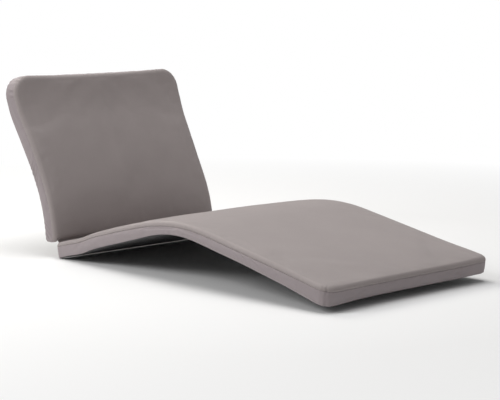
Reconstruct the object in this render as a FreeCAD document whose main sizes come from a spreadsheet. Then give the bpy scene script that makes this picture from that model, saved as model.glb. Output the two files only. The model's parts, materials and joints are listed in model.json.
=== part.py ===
import FreeCAD, Part
import os
import math
import Sketcher

# A two-section overlay pad for a dental patient chair. The back pad and the long seat and leg
# pad are foam slabs in sewn covers, joined by a strip of cover fabric at the fold. The long
# slab is drawn as it lies over the chair: seat section rising, a curved knee, leg section
# falling. +X runs from the fold towards the feet, Y across the patient, +Z up. The origin is
# the centre of the bounding box's underside.

V = FreeCAD.Vector
doc = FreeCAD.newDocument("dental_chair_pad")

# ---------------------------------------------------------------- driving dimensions
# Columns: alias, value in mm or degrees, note.
CELLS = [
    # face curves
    ("fold_x", -346.5, "fold axis, from the origin"),
    ("fold_z", 35.2, "fold axis, above the lowest edge"),
    ("pad_width", 508.0, "both sections, across"),
    ("pad_thick", 38.0, "outside thickness"),
    ("end_gap", 6.0, "fold axis to each section's end face, along its face"),
    ("seat_slope", 14.8, "degrees above level"),
    ("seat_len", 320.0, "fold axis to the start of the knee"),
    ("knee_len", 218.0, "length of the knee on the top face"),
    ("knee_turn", 26.0, "degrees between seat and leg"),
    ("leg_len", 365.0, "knee to the foot end"),
    ("back_lean", 93.0, "degrees from +X at the fold"),
    ("low_len", 125.0, "lower curve of the back, on its front face"),
    ("low_turn", 22.3, "degrees"),
    ("mid_len", 167.0, "middle of the back"),
    ("mid_turn", 4.9, "degrees"),
    ("high_len", 126.0, "upper curve of the back, bent the other way"),
    ("high_turn", 20.2, "degrees"),
    # covers and foams
    ("rim_rad", 9.5, "rounding of the cover's top edge"),
    ("seam_drop", 10.0, "top face to the seam of the side strip"),
    ("foot_rad", 24.0, "plan corners at the foot end"),
    ("head_rad", 46.0, "plan corners at the top of the back"),
    ("fold_rad", 16.0, "plan corners beside the fold"),
    ("skin", 0.8, "cover fabric"),
    ("seam_gap", 0.2, "between two cover panels"),
    ("foam_clear", 1.1, "outside face to foam"),
    ("foam_end", 2.8, "end face with the zip to foam"),
    ("foam_split", 19.0, "depth of the line between the two foams"),
    ("glue_gap", 0.2, "between the two foams"),
    # zip opening, tapes, coil and stops
    ("zip_len", 424.0, "length of both tapes"),
    ("zip_depth", 23.6, "top face to the zip's centre line"),
    ("zip_window", 9.0, "height of the opening in the side strip"),
    ("window_trim", 1.5, "end of the tapes to the end of the opening"),
    ("window_cut", 6.0, "length of the opening's tool through the strip"),
    ("strip_clear", 0.15, "side strip to tape"),
    ("tape_wide", 9.4, "each tape"),
    ("tape_thick", 0.5, "each tape"),
    ("tape_set", 0.3, "edge of the coil's slot to the tape"),
    ("coil_wide", 1.8, "each row of the coil"),
    ("coil_thick", 1.3, "coil, above the tape"),
    ("coil_split", 1.0, "slot between the two rows"),
    ("coil_gap", 0.02, "tape to coil"),
    ("coil_inset", 8.0, "end of the tapes to the coil"),
    ("stop_inset", 3.0, "end of the tapes to a stop"),
    ("stop_len", 4.0, "stop, along the zip"),
    ("stop_wide", 4.8, "stop, across the zip"),
    ("stop_thick", 1.3, "stop, above the tape"),
    # slider and pull
    ("slider_len", 9.0, "slider, along the zip"),
    ("slider_wide", 7.2, "slider, across the zip"),
    ("slider_start", 8.5, "end of the tapes to the slider"),
    ("slider_clear", 0.12, "plates to coil and to tape"),
    ("plate", 0.9, "slider plates"),
    ("post_start", 1.5, "end of the slider to its post"),
    ("post_len", 4.0, "post, along the zip"),
    ("post_wide", 0.7, "post, across the zip"),
    ("ear_start", 2.6, "end of the slider to its ears"),
    ("ear_len", 3.2, "ear, along the zip"),
    ("ear_wide", 1.0, "ear, across the zip"),
    ("ear_high", 2.3, "ear, out of the plate"),
    ("ear_sink", 0.05, "ear's overlap with the plate"),
    ("ear_split", 2.4, "between the ears"),
    ("pin_rad", 0.7, "cross pin of the pull"),
    ("pin_clear", 0.05, "pin to its hole"),
    ("hole_len", 8.0, "tool for the pin's hole"),
    ("neck_lift", 0.7, "outer plate to the pull's neck"),
    ("neck_thick", 0.8, "pull neck"),
    ("neck_len", 5.4, "pull neck, from the pin's axis"),
    ("neck_wide", 1.8, "pull neck"),
    ("pull_len", 24.0, "pull tab"),
    ("pull_wide", 5.0, "pull tab"),
    ("pull_thick", 1.0, "pull tab"),
    ("tab_lift", 0.6, "outer plate to the flat of the tab"),
    ("tab_start", 9.2, "end of the slider to the flat of the tab"),
    ("tab_less", 9.0, "flat of the tab is shorter than pull_len by this"),
    ("eye_rad", 1.2, "hole in the tab"),
    ("eye_cut", 6.0, "length of the tool for the hole in the tab"),
    ("eye_sink", 2.0, "start of that tool, below the outer plate's face"),
    ("eye_back", 3.4, "hole's centre, short of pull_len"),
    # fold strip and label
    ("hinge_thick", 0.8, "fold strip fabric"),
    ("hinge_clear", 0.25, "section's end face to the fold strip"),
    ("label_wide", 22.0, "blank care label"),
    ("label_share", 0.8, "part of label_wide that is modelled"),
    ("label_high", 14.0, "blank care label"),
    ("label_thick", 0.3, "blank care label"),
    ("label_gap", 0.15, "seat's end face to the label"),
    ("label_start", 213.0, "middle of the zip to the label"),
    ("label_drop", 1.0, "label's middle below the zip's centre line"),
]

RUN_ON = 5.0      # cutting tools run on this far past a section's open ends
OVERCUT = 1.0     # and this far past the panel they hollow, in depth
TOLERANCE = 0.02  # for finding edges by their place
DEG = 180.0 / math.pi


class Linked:
    """A number together with the sheet expression that gives it."""

    def __init__(self, value, text):
        self.value, self.text = float(value), text

    def __add__(self, other):
        other = linked(other)
        return Linked(self.value + other.value, "(%s + %s)" % (self.text, other.text))

    def __sub__(self, other):
        other = linked(other)
        return Linked(self.value - other.value, "(%s - %s)" % (self.text, other.text))

    def __mul__(self, other):
        other = linked(other)
        return Linked(self.value * other.value, "(%s * %s)" % (self.text, other.text))

    def __truediv__(self, other):
        other = linked(other)
        return Linked(self.value / other.value, "(%s / %s)" % (self.text, other.text))

    def __neg__(self):
        return linked(0) - self


def linked(number):
    if isinstance(number, Linked):
        return number
    text = repr(float(number)) if number >= 0 else "(0 - %r)" % float(-number)
    return Linked(number, text)


def sind(angle):
    return Linked(math.sin(math.radians(angle.value)), "sin(%s)" % angle.text)


def cosd(angle):
    return Linked(math.cos(math.radians(angle.value)), "cos(%s)" % angle.text)


class Dims:
    """The sheet's cells as linked numbers, one attribute for each alias."""


sheet = doc.addObject("Spreadsheet::Sheet", "Dims")
for row, (alias, value, note) in enumerate(CELLS, start=1):
    sheet.set("A%d" % row, alias)
    sheet.set("B%d" % row, repr(value))
    sheet.set("C%d" % row, note)
    sheet.setAlias("B%d" % row, alias)
    setattr(Dims, alias, Linked(value, "Dims.%s" % alias))
doc.recompute()

# ---------------------------------------------------------------- face curves
# A station is (x, z, angle) on the outer face. A bend's sign is +1 where the angle grows.


def ahead(station, along):
    """The station a straight distance further on."""
    x, z, angle = station
    along = linked(along)
    return (x + along * cosd(angle), z + along * sind(angle), angle)


def bend(station, radius, turn, sign):
    """The station after an arc that turns by sign * turn degrees."""
    x, z, angle = station
    after = angle + turn if sign > 0 else angle - turn
    swing = radius * sign
    return (x + swing * (sind(after) - sind(angle)),
            z + swing * (cosd(angle) - cosd(after)),
            after)


def bend_radius(length, turn):
    return length * DEG / turn


def deep(station, depth, side):
    """The point at a depth below the face. side is +1 if that is right of the direction."""
    x, z, angle = station
    depth = linked(depth) * side
    return (x + depth * sind(angle), z - depth * cosd(angle))


SEAT_FOLD = (Dims.fold_x, Dims.fold_z, Dims.seat_slope)
BACK_FOLD = (Dims.fold_x, Dims.fold_z, Dims.back_lean)
KNEE_RADIUS = bend_radius(Dims.knee_len, Dims.knee_turn)
KNEE_START = ahead(SEAT_FOLD, Dims.seat_len)
KNEE_END = bend(KNEE_START, KNEE_RADIUS, Dims.knee_turn, -1)

# Each function gives a section's stations and, for each span between them, None or
# (radius, sign). Ends at the fold move in by start_inset, foot and head ends by inset.


def seat_faces(inset, start_inset, run_on):
    start = ahead(SEAT_FOLD, Dims.end_gap + start_inset)
    return [start, ahead(SEAT_FOLD, Dims.seat_len + run_on)], [None]


def knee_faces(inset, start_inset, run_on):
    stations, bends = [KNEE_START, KNEE_END], [(KNEE_RADIUS, -1)]
    if run_on:
        stations = [ahead(KNEE_START, -run_on)] + stations + [ahead(KNEE_END, run_on)]
        bends = [None] + bends + [None]
    return stations, bends


def leg_faces(inset, start_inset, run_on):
    start = ahead(KNEE_END, linked(0) - run_on)
    return [start, ahead(KNEE_END, Dims.leg_len - inset)], [None]


def back_faces(inset, start_inset, run_on):
    low = bend_radius(Dims.low_len, Dims.low_turn)
    mid = bend_radius(Dims.mid_len, Dims.mid_turn)
    high = bend_radius(Dims.high_len, Dims.high_turn)
    # insets are taken along the first and last curves, by arc length
    start_turn = start_inset * Dims.low_turn / Dims.low_len
    high_turn = Dims.high_turn - inset * Dims.high_turn / Dims.high_len
    end_face = ahead(BACK_FOLD, Dims.end_gap)
    start = bend(end_face, low, start_turn, 1)
    low_end = bend(end_face, low, Dims.low_turn, 1)
    mid_end = bend(low_end, mid, Dims.mid_turn, 1)
    high_end = bend(mid_end, high, high_turn, -1)
    return [start, low_end, mid_end, high_end], [(low, 1), (mid, 1), (high, -1)]


# Columns: faces, side of the thickness, plan radii at the start and the end (None if open).
SECTIONS = {
    "seat": (seat_faces, 1, Dims.fold_rad, None),
    "knee": (knee_faces, 1, None, None),
    "leg": (leg_faces, 1, None, Dims.foot_rad),
    "back": (back_faces, -1, Dims.fold_rad, Dims.head_rad),
}
ZIPPED = {"seat": SEAT_FOLD, "back": BACK_FOLD}

# ---------------------------------------------------------------- sketches and pads


def body_with_sketch(name):
    body = doc.addObject("PartDesign::Body", name)
    sketch = body.newObject("Sketcher::SketchObject", name + "_outline")
    plane = next(f for f in body.Origin.OriginFeatures if f.Role == "XZ_Plane")
    sketch.AttachmentSupport = [(plane, "")]
    sketch.MapMode = "FlatFace"
    return body, sketch


def add_arc(sketch, start, end, radius, centre):
    """The shorter arc from start to end, with the numbers of its start and end points."""
    start_angle = math.atan2(start[1] - centre[1], start[0] - centre[0])
    end_angle = math.atan2(end[1] - centre[1], end[0] - centre[0])
    circle = Part.Circle(V(centre[0], centre[1], 0), V(0, 0, 1), radius)
    turn = (end_angle - start_angle) % (2 * math.pi)
    if turn < math.pi:
        arc = Part.ArcOfCircle(circle, start_angle, start_angle + turn)
        return sketch.addGeometry(arc, False), 1, 2
    arc = Part.ArcOfCircle(circle, end_angle, end_angle + 2 * math.pi - turn)
    return sketch.addGeometry(arc, False), 2, 1


def constrain(sketch, number, *constraint):
    index = sketch.addConstraint(Sketcher.Constraint(*constraint, number.value))
    sketch.setExpression("Constraints[%d]" % index, number.text)


def closed_profile(sketch, corners, arcs):
    """A closed outline of linked corners. arcs maps an edge's number to (radius, centre)."""
    points = [flat(corner) for corner in corners]
    edges = []
    for i, start in enumerate(points):
        end = points[(i + 1) % len(points)]
        if i in arcs:
            radius, centre = arcs[i]
            edges.append(add_arc(sketch, start, end, radius.value, centre))
        else:
            line = Part.LineSegment(V(start[0], start[1], 0), V(end[0], end[1], 0))
            edges.append((sketch.addGeometry(line, False), 1, 2))
    for i, (edge, _, tail) in enumerate(edges):
        following, head, _ = edges[(i + 1) % len(edges)]
        sketch.addConstraint(Sketcher.Constraint("Coincident", edge, tail, following, head))
    for (edge, head, _), (x, z) in zip(edges, corners):
        constrain(sketch, x, "DistanceX", -1, 1, edge, head)
        constrain(sketch, z, "DistanceY", -1, 1, edge, head)
    for i, (radius, _) in arcs.items():
        constrain(sketch, radius, "Radius", edges[i][0])


def pad_across(body, sketch, name, width):
    pad = body.newObject("PartDesign::Pad", name)
    pad.Profile = sketch
    # the symmetric setting's property depends on the FreeCAD release
    if hasattr(pad, "SideType"):
        pad.SideType = "Symmetric"
    else:
        pad.Midplane = True
    pad.setExpression("Length", width.text)
    body.Tip = pad
    doc.recompute()
    return pad


# ---------------------------------------------------------------- rounding


def round_edges(body, base, name, pick, radius):
    edges = ["Edge%d" % i for i, e in enumerate(base.Shape.Edges, start=1) if pick(e)]
    if not edges:
        raise RuntimeError("no edges for " + name)
    fillet = body.newObject("PartDesign::Fillet", name)
    fillet.Base = (base, edges)
    fillet.setExpression("Radius", radius.text)
    body.Tip = fillet
    doc.recompute()
    if fillet.Shape.isNull() or not fillet.Shape.isValid():
        raise RuntimeError("fillet failed: " + name)
    return fillet


def flat(point):
    return point[0].value, point[1].value


def near(point, place):
    return abs(point.x - place[0]) < TOLERANCE and abs(point.z - place[1]) < TOLERANCE


def corner_pick(width, top, bottom):
    """Picks the two edges that run through the thickness at one end of a slab."""
    half, top, bottom = width.value / 2.0, flat(top), flat(bottom)

    def pick(edge):
        if len(edge.Vertexes) != 2:
            return False
        a, b = [vertex.Point for vertex in edge.Vertexes]
        if abs(abs(a.y) - half) > TOLERANCE or abs(a.y - b.y) > TOLERANCE:
            return False
        return (near(a, top) and near(b, bottom)) or (near(b, top) and near(a, bottom))

    return pick


def on_arc(start, end, radius, centre):
    """Tests whether a point lies on a curved span of the face."""
    low_x, high_x = sorted((start[0], end[0]))
    low_z, high_z = sorted((start[1], end[1]))

    def test(point):
        off = abs(math.hypot(point.x - centre[0], point.z - centre[1]) - radius)
        # the margins only keep out the far side of the circle
        return (off <= TOLERANCE and low_x - 1 < point.x < high_x + 1
                and low_z - 20 < point.z < high_z + 20)

    return test


def on_line(start, end):
    """Tests whether a point lies on a straight span of the face."""
    run, rise = end[0] - start[0], end[1] - start[1]
    length = math.hypot(run, rise)

    def test(point):
        x, z = point.x - start[0], point.z - start[1]
        off = abs(x * rise - z * run) / length
        along = (x * run + z * rise) / length
        return off < TOLERANCE and -TOLERANCE < along < length + TOLERANCE

    return test


def rim_pick(top, arcs, free_ends):
    """Picks the edges around the face, but not those across it at open ends or joints."""
    points = [flat(point) for point in top]
    tests = []
    for i, (start, end) in enumerate(zip(points, points[1:])):
        if i in arcs:
            radius, centre = arcs[i]
            tests.append(on_arc(start, end, radius.value, centre))
        else:
            tests.append(on_line(start, end))

    def pick(edge):
        ends = [vertex.Point for vertex in edge.Vertexes]
        if len(ends) != 2:
            return False
        middle = edge.valueAt((edge.FirstParameter + edge.LastParameter) / 2.0)
        if not all(any(test(point) for test in tests) for point in ends + [middle]):
            return False
        if near(ends[0], (ends[1].x, ends[1].z)):
            return any(near(ends[0], flat(end)) for end in free_ends)
        return True

    return pick


# ---------------------------------------------------------------- slabs


def slab(name, kind, top_depth, bottom_depth, inset,
         rim=None, start_inset=None, run_on=0.0, corners=True):
    """One slab of a section, between two depths, inset at its sides and free ends.

    run_on carries a tool past the seat's, knee's and leg's open ends, so that a cut leaves
    them open. start_inset replaces inset at an end beside the fold.
    """
    faces, side, start_radius, end_radius = SECTIONS[kind]
    if not corners:
        start_radius = end_radius = None
    inset, top_depth, bottom_depth = linked(inset), linked(top_depth), linked(bottom_depth)
    width = Dims.pad_width - inset * 2.0
    stations, bends = faces(inset, inset if start_inset is None else start_inset, run_on)
    top = [deep(station, top_depth, side) for station in stations]
    bottom = [deep(station, bottom_depth, side) for station in stations]

    arcs = {}
    for i, span in enumerate(bends):
        if span is None:
            continue
        radius, sign = span
        x, z, angle = (part.value for part in stations[i])
        angle = math.radians(angle)
        # the centre is to the left of the direction where sign is +1
        centre = (x - sign * radius.value * math.sin(angle),
                  z + sign * radius.value * math.cos(angle))
        grow = sign * side
        arcs[i] = (radius + top_depth * grow, centre)
        arcs[2 * len(stations) - 2 - i] = (radius + bottom_depth * grow, centre)

    body, sketch = body_with_sketch(name)
    closed_profile(sketch, top + bottom[::-1], arcs)
    feature = pad_across(body, sketch, name + "_block", width)
    free_ends = []
    for end, at, radius in (("start", 0, start_radius), ("end", -1, end_radius)):
        if radius is not None:
            free_ends.append(top[at])
            pick = corner_pick(width, top[at], bottom[at])
            feature = round_edges(body, feature, "%s_%s_corners" % (name, end), pick,
                                  radius - inset)
    if rim is not None:
        round_edges(body, feature, name + "_rim", rim_pick(top, arcs, free_ends), rim)
    return body


def combine(operation, name, base, tool):
    result = doc.addObject("Part::" + operation, name)
    result.Base, result.Tool = base, tool
    doc.recompute()
    return result


def gather(operation, links, name, parts):
    result = doc.addObject("Part::" + operation, name)
    setattr(result, links, parts)
    doc.recompute()
    return result


NODES = []


def keep(piece, label):
    piece.Label = label
    NODES.append(piece)


# ---------------------------------------------------------------- covers and foams


def cover_top(kind):
    """A shallow tray whose rim turns down to the seam."""
    outer = slab(kind + "_top_outer", kind, 0.0, Dims.seam_drop, 0.0, rim=Dims.rim_rad)
    inner = slab(kind + "_top_inner", kind, Dims.skin, Dims.seam_drop + OVERCUT, Dims.skin,
                 rim=Dims.rim_rad - Dims.skin, run_on=RUN_ON)
    label = kind + ("_cover_front" if kind == "back" else "_cover_top")
    keep(combine("Cut", kind + "_top", outer, inner), label)


def side_strip(kind):
    outer = slab(kind + "_strip_outer", kind, Dims.seam_drop + Dims.seam_gap,
                 Dims.pad_thick - Dims.skin - Dims.seam_gap, 0.0)
    inner = slab(kind + "_strip_inner", kind, Dims.seam_drop - OVERCUT,
                 Dims.pad_thick + OVERCUT, Dims.skin, run_on=RUN_ON)
    return combine("Cut", kind + "_strip", outer, inner)


def cover_base(kind):
    top = Dims.pad_thick - Dims.skin
    if kind == "back":
        # the curved sheet takes its corners from a thicker block
        thick_block = slab(kind + "_base_block", kind, Dims.seam_drop + Dims.seam_gap,
                           Dims.pad_thick, 0.0)
        thin_sheet = slab(kind + "_base_sheet", kind, top, Dims.pad_thick, 0.0, corners=False)
        base = combine("Common", kind + "_base", thick_block, thin_sheet)
    else:
        base = slab(kind + "_base", kind, top, Dims.pad_thick, 0.0)
    keep(base, kind + "_cover_base")


def foams(kind):
    """Memory foam under the face, support foam below it."""
    clear = Dims.foam_clear
    memory = slab(kind + "_memory", kind, clear, Dims.foam_split, clear,
                  rim=Dims.rim_rad - clear, start_inset=Dims.foam_end)
    keep(memory, kind + "_memory_foam")
    support = slab(kind + "_support", kind, Dims.foam_split + Dims.glue_gap,
                   Dims.pad_thick - clear, clear, start_inset=Dims.foam_end)
    keep(support, kind + "_support_foam")


# ---------------------------------------------------------------- zips in the two end faces
# Each zip is drawn in a frame of its own: X out of the end face, Y across the patient,
# Z towards the section's face, with the origin in the middle of the zip's centre line.
# Local Y is -Y of the model at the seat and +Y at the back.


def end_frame(kind):
    fold, side = ZIPPED[kind], SECTIONS[kind][1]
    x, z = flat(deep(ahead(fold, Dims.end_gap), Dims.zip_depth, side))
    angle = math.radians(fold[2].value)
    out = V(-math.cos(angle), 0, -math.sin(angle))
    up = V(-side * math.sin(angle), 0, side * math.cos(angle))
    return FreeCAD.Placement(V(x, 0, z), FreeCAD.Rotation(out, up.cross(out), up, "ZXY"))


def set_at(piece, frame, place, rotation=FreeCAD.Rotation()):
    at = V(*[linked(number).value for number in place])
    piece.Placement = frame.multiply(FreeCAD.Placement(at, rotation))


def block(name, frame, low, size):
    """A box from its lowest local corner."""
    box = doc.addObject("Part::Box", name)
    for side, number in zip(("Length", "Width", "Height"), size):
        box.setExpression(side, number.text)
    set_at(box, frame, low)
    return box


def rod(name, frame, start, radius, length, rotation=FreeCAD.Rotation()):
    """A cylinder from the centre of its first end, along local Z unless turned."""
    cylinder = doc.addObject("Part::Cylinder", name)
    cylinder.setExpression("Radius", radius.text)
    cylinder.setExpression("Height", length.text)
    set_at(cylinder, frame, start, rotation)
    return cylinder


# local X of the layers, from the tapes behind the side strip outwards
TAPE_X = -Dims.skin - Dims.strip_clear - Dims.tape_thick
COIL_X = TAPE_X + Dims.tape_thick + Dims.coil_gap
INNER_PLATE_X = TAPE_X - Dims.slider_clear - Dims.plate
OUTER_PLATE_X = COIL_X + Dims.coil_thick + Dims.slider_clear
SLIDER_FACE_X = OUTER_PLATE_X + Dims.plate
EAR_X = SLIDER_FACE_X - Dims.ear_sink
# local Y along the zip; the slider is parked clear of the first stop
ZIP_START = -Dims.zip_len * 0.5
SLIDER_Y = ZIP_START + Dims.slider_start
EAR_Y = SLIDER_Y + Dims.ear_start
# the pin runs through the middle of the ears, from outside to outside
PIN_X = EAR_X + Dims.ear_high * 0.5
PIN_Y = EAR_Y + Dims.ear_len * 0.5
EAR_OUTSIDE = Dims.ear_split * 0.5 + Dims.ear_wide


def zip_opening(kind, strip, frame):
    trim, deep_cut, high = Dims.window_trim, Dims.window_cut, Dims.zip_window
    window = block(kind + "_window", frame,
                   (-deep_cut * 0.5, ZIP_START + trim, -high * 0.5),
                   (deep_cut, Dims.zip_len - trim * 2.0, high))
    keep(combine("Cut", kind + "_strip_open", strip, window), kind + "_cover_boxing")


def zip_tapes(kind, frame):
    edge = Dims.coil_split * 0.5 + Dims.tape_set
    size = (Dims.tape_thick, Dims.zip_len, Dims.tape_wide)
    tapes = [block(kind + "_tape_" + tag, frame, (TAPE_X, ZIP_START, z), size)
             for tag, z in (("a", edge), ("b", -edge - Dims.tape_wide))]
    keep(gather("Compound", "Links", kind + "_tapes", tapes), kind + "_zip_tapes")


def zip_coil(kind, frame):
    """Two rows, with the slot that the slider's post runs in."""
    edge, inset = Dims.coil_split * 0.5, Dims.coil_inset
    size = (Dims.coil_thick, Dims.zip_len - inset * 2.0, Dims.coil_wide)
    rows = [block(kind + "_row_" + tag, frame, (COIL_X, ZIP_START + inset, z), size)
            for tag, z in (("a", edge), ("b", -edge - Dims.coil_wide))]
    keep(gather("Compound", "Links", kind + "_rows", rows), kind + "_zip_coil")


def zip_stops(kind, frame):
    first = ZIP_START + Dims.stop_inset
    last = -ZIP_START - Dims.stop_inset - Dims.stop_len
    size = (Dims.stop_thick, Dims.stop_len, Dims.stop_wide)
    stops = [block(kind + "_stop_" + tag, frame, (COIL_X, y, -Dims.stop_wide * 0.5), size)
             for tag, y in (("a", first), ("b", last))]
    keep(gather("Compound", "Links", kind + "_stops", stops), kind + "_zip_stops")


def zip_slider(kind, frame):
    """Two plates, the post between the coil's rows, and two ears drilled for the pull's pin."""
    plate_size = (Dims.plate, Dims.slider_len, Dims.slider_wide)
    parts = [block(kind + "_plate_" + tag, frame, (x, SLIDER_Y, -Dims.slider_wide * 0.5),
                   plate_size)
             for tag, x in (("out", OUTER_PLATE_X), ("in", INNER_PLATE_X))]
    parts.append(block(kind + "_post", frame,
                       (INNER_PLATE_X, SLIDER_Y + Dims.post_start, -Dims.post_wide * 0.5),
                       (SLIDER_FACE_X - INNER_PLATE_X, Dims.post_len, Dims.post_wide)))
    ear_size = (Dims.ear_high, Dims.ear_len, Dims.ear_wide)
    for tag, z in (("a", -EAR_OUTSIDE), ("b", Dims.ear_split * 0.5)):
        parts.append(block(kind + "_ear_" + tag, frame, (EAR_X, EAR_Y, z), ear_size))
    solid = gather("MultiFuse", "Shapes", kind + "_slider_block", parts)
    hole = rod(kind + "_pin_hole", frame, (PIN_X, PIN_Y, -Dims.hole_len * 0.5),
               Dims.pin_rad + Dims.pin_clear, Dims.hole_len)
    keep(combine("Cut", kind + "_slider", solid, hole), kind + "_zip_slider")


def zip_pull(kind, frame):
    """A cross pin between the ears and a flat tab that lies along the zip."""
    pin = rod(kind + "_pull_pin", frame, (PIN_X, PIN_Y, -EAR_OUTSIDE),
              Dims.pin_rad, EAR_OUTSIDE * 2.0)
    neck = block(kind + "_pull_neck", frame,
                 (SLIDER_FACE_X + Dims.neck_lift, PIN_Y, -Dims.neck_wide * 0.5),
                 (Dims.neck_thick, Dims.neck_len, Dims.neck_wide))
    tab = block(kind + "_pull_tab", frame,
                (SLIDER_FACE_X + Dims.tab_lift, SLIDER_Y + Dims.tab_start,
                 -Dims.pull_wide * 0.5),
                (Dims.pull_thick, Dims.pull_len - Dims.tab_less, Dims.pull_wide))
    solid = gather("MultiFuse", "Shapes", kind + "_pull_raw", [pin, neck, tab])
    eye = rod(kind + "_pull_eye", frame,
              (SLIDER_FACE_X - Dims.eye_sink, SLIDER_Y + Dims.pull_len - Dims.eye_back, 0.0),
              Dims.eye_rad, Dims.eye_cut, FreeCAD.Rotation(V(0, 1, 0), 90))
    keep(combine("Cut", kind + "_pull", solid, eye), kind + "_zip_pull")


# ---------------------------------------------------------------- label and fold strip


def care_label():
    """Blank, on the seat's end face beside the zip."""
    low = (Dims.label_gap, Dims.label_start, -Dims.label_high * 0.5 - Dims.label_drop)
    size = (Dims.label_thick, Dims.label_wide * Dims.label_share, Dims.label_high)
    keep(block("label_block", end_frame("seat"), low, size), "care_label")


def fold_strip():
    """Runs straight across the fold, between the two end faces at the depth of the seams."""
    body, sketch = body_with_sketch("fold_strip")
    reach = Dims.end_gap - Dims.hinge_clear
    seat_end, back_end = ahead(SEAT_FOLD, reach), ahead(BACK_FOLD, reach)
    upper = Dims.seam_drop - Dims.hinge_thick * 0.5
    lower = Dims.seam_drop + Dims.hinge_thick * 0.5
    corners = [deep(seat_end, upper, 1), deep(back_end, upper, -1),
               deep(back_end, lower, -1), deep(seat_end, lower, 1)]
    closed_profile(sketch, corners, {})
    pad_across(body, sketch, "fold_strip_block", Dims.pad_width - Dims.fold_rad * 2.0)
    keep(body, "fold_hinge_strip")


# ---------------------------------------------------------------- build and export


def check():
    bad = ["%s: %s" % (item.Name, item.State) for item in doc.Objects
           if "Invalid" in item.State or "Error" in item.State]
    labels = set()
    for node in NODES:
        shape = node.Shape
        if shape.isNull() or not shape.isValid() or not shape.Solids:
            bad.append("%s has no valid solid" % node.Label)
        if node.Label in labels:
            bad.append("label used twice: %s" % node.Label)
        labels.add(node.Label)
    if bad:
        raise RuntimeError("; ".join(bad))


for kind in SECTIONS:
    cover_top(kind)
    strip = side_strip(kind)
    cover_base(kind)
    foams(kind)
    if kind in ZIPPED:
        frame = end_frame(kind)
        zip_opening(kind, strip, frame)
        for make in (zip_tapes, zip_coil, zip_stops, zip_slider, zip_pull):
            make(kind, frame)
    else:
        keep(strip, kind + "_cover_boxing")
care_label()
fold_strip()
doc.recompute()
check()

os.makedirs("parts", exist_ok=True)
for node in NODES:
    node.Shape.exportStep("parts/%s.step" % node.Label)
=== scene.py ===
"""A chair cushion: a seat pad that bends at the knee, and a back pad hinged to it at the fold.

The seat's top face runs from the fold towards +X, the back's rises towards +Z, and both are
centred across Y. Lengths are in metres, except in the zip section, which works in mm.
"""
import math
import json
from functools import cached_property

import bpy
import bmesh
import numpy as np
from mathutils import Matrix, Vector


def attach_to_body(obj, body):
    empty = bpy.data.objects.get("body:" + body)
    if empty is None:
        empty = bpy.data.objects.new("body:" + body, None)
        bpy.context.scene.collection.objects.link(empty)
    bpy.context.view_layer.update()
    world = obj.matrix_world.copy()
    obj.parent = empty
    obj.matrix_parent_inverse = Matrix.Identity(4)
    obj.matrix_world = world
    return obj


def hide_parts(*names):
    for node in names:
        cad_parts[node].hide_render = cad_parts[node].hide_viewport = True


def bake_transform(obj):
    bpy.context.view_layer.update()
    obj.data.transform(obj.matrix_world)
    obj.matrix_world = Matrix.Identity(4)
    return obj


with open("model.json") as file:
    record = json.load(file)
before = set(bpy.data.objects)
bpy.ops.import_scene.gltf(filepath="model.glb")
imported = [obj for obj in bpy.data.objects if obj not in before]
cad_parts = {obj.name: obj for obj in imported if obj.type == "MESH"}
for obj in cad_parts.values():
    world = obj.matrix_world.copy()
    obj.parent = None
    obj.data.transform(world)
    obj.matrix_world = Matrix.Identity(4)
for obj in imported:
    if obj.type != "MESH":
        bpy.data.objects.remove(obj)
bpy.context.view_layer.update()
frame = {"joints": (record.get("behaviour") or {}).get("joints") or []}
FOLD = np.array({j["name"]: j for j in frame["joints"]}["back_fold"]["pos_m"], float)[[0, 2]]
SCALE = 1      # divides the pads' cell counts

MM = 0.001
TURN = 2 * math.pi
HALF = 254.0 * MM          # half the width
GAP = 6.0 * MM             # fold axis to each end face
RIM = 9.0 * MM             # rounding of the top edge
SEAM = 10.0 * MM           # top face to the upper seam
THICK = 37.6 * MM          # cover, outside to outside
CORE = 56 * MM             # outline to the core rectangle, which is meshed as a plain grid
CORNER_SHARE = 32 * MM     # corners of a smaller radius than this get extra columns
KNEE = (322 * MM, 540 * MM)      # runs where the bending starts and ends
MID_DEPTH = 19 * MM
FOAM_SPLIT = (18.9 * MM, 19.1 * MM)      # underside of the upper foam, top of the lower one
FOAM_TOP, FOAM_BOTTOM = 2.2 * MM, 36.0 * MM
TOP_CLOTH, SIDE_CLOTH = 0.9 * MM, 0.8 * MM      # thickness of the panels and of the strip
BASE_FLAT = 3.2 * MM       # inset where the flat of the base panel ends
ZIP_DEPTH = 23.6 * MM      # top face to the middle of the zip
OPENING_HALF_HEIGHT = 4.5 * MM
OPENING_HALF_LENGTH = 210.5 * MM


# ------------------------------------------------------------------ helpers
def smooth(x):
    x = np.clip(x, 0.0, 1.0)
    return x * x * (3 - 2 * x)


def bump(x, width):
    return np.exp(-((x / width) ** 2))


def rise(x, reach):
    """Climbs from 0 towards 1 over about the reach."""
    return 1 - np.exp(-np.maximum(x, 0) / reach)


def table(runs, values):
    """A function of the run, straight between stations in mm."""
    return lambda run: np.interp(run, np.array(runs) * MM, np.array(values))


class Waves:
    """Smooth noise: a fixed sum of sine waves, so that every run gives the same surface."""

    def __init__(self, seed, shortest, longest, count=14, dims=2):
        rng = np.random.default_rng(seed)
        heading = rng.normal(size=(count, dims))
        heading /= np.linalg.norm(heading, axis=1)[:, None]
        length = np.exp(rng.uniform(math.log(shortest), math.log(longest), count))
        self.rate = heading * (TURN / length)[:, None]
        self.phase = rng.uniform(0, TURN, count)
        self.scale = 1.0 / math.sqrt(count / 2.0)

    def __call__(self, *coords):
        place = np.stack([np.asarray(c, float) for c in coords], -1)
        return np.sin(place @ self.rate.T + self.phase).sum(-1) * self.scale


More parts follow.
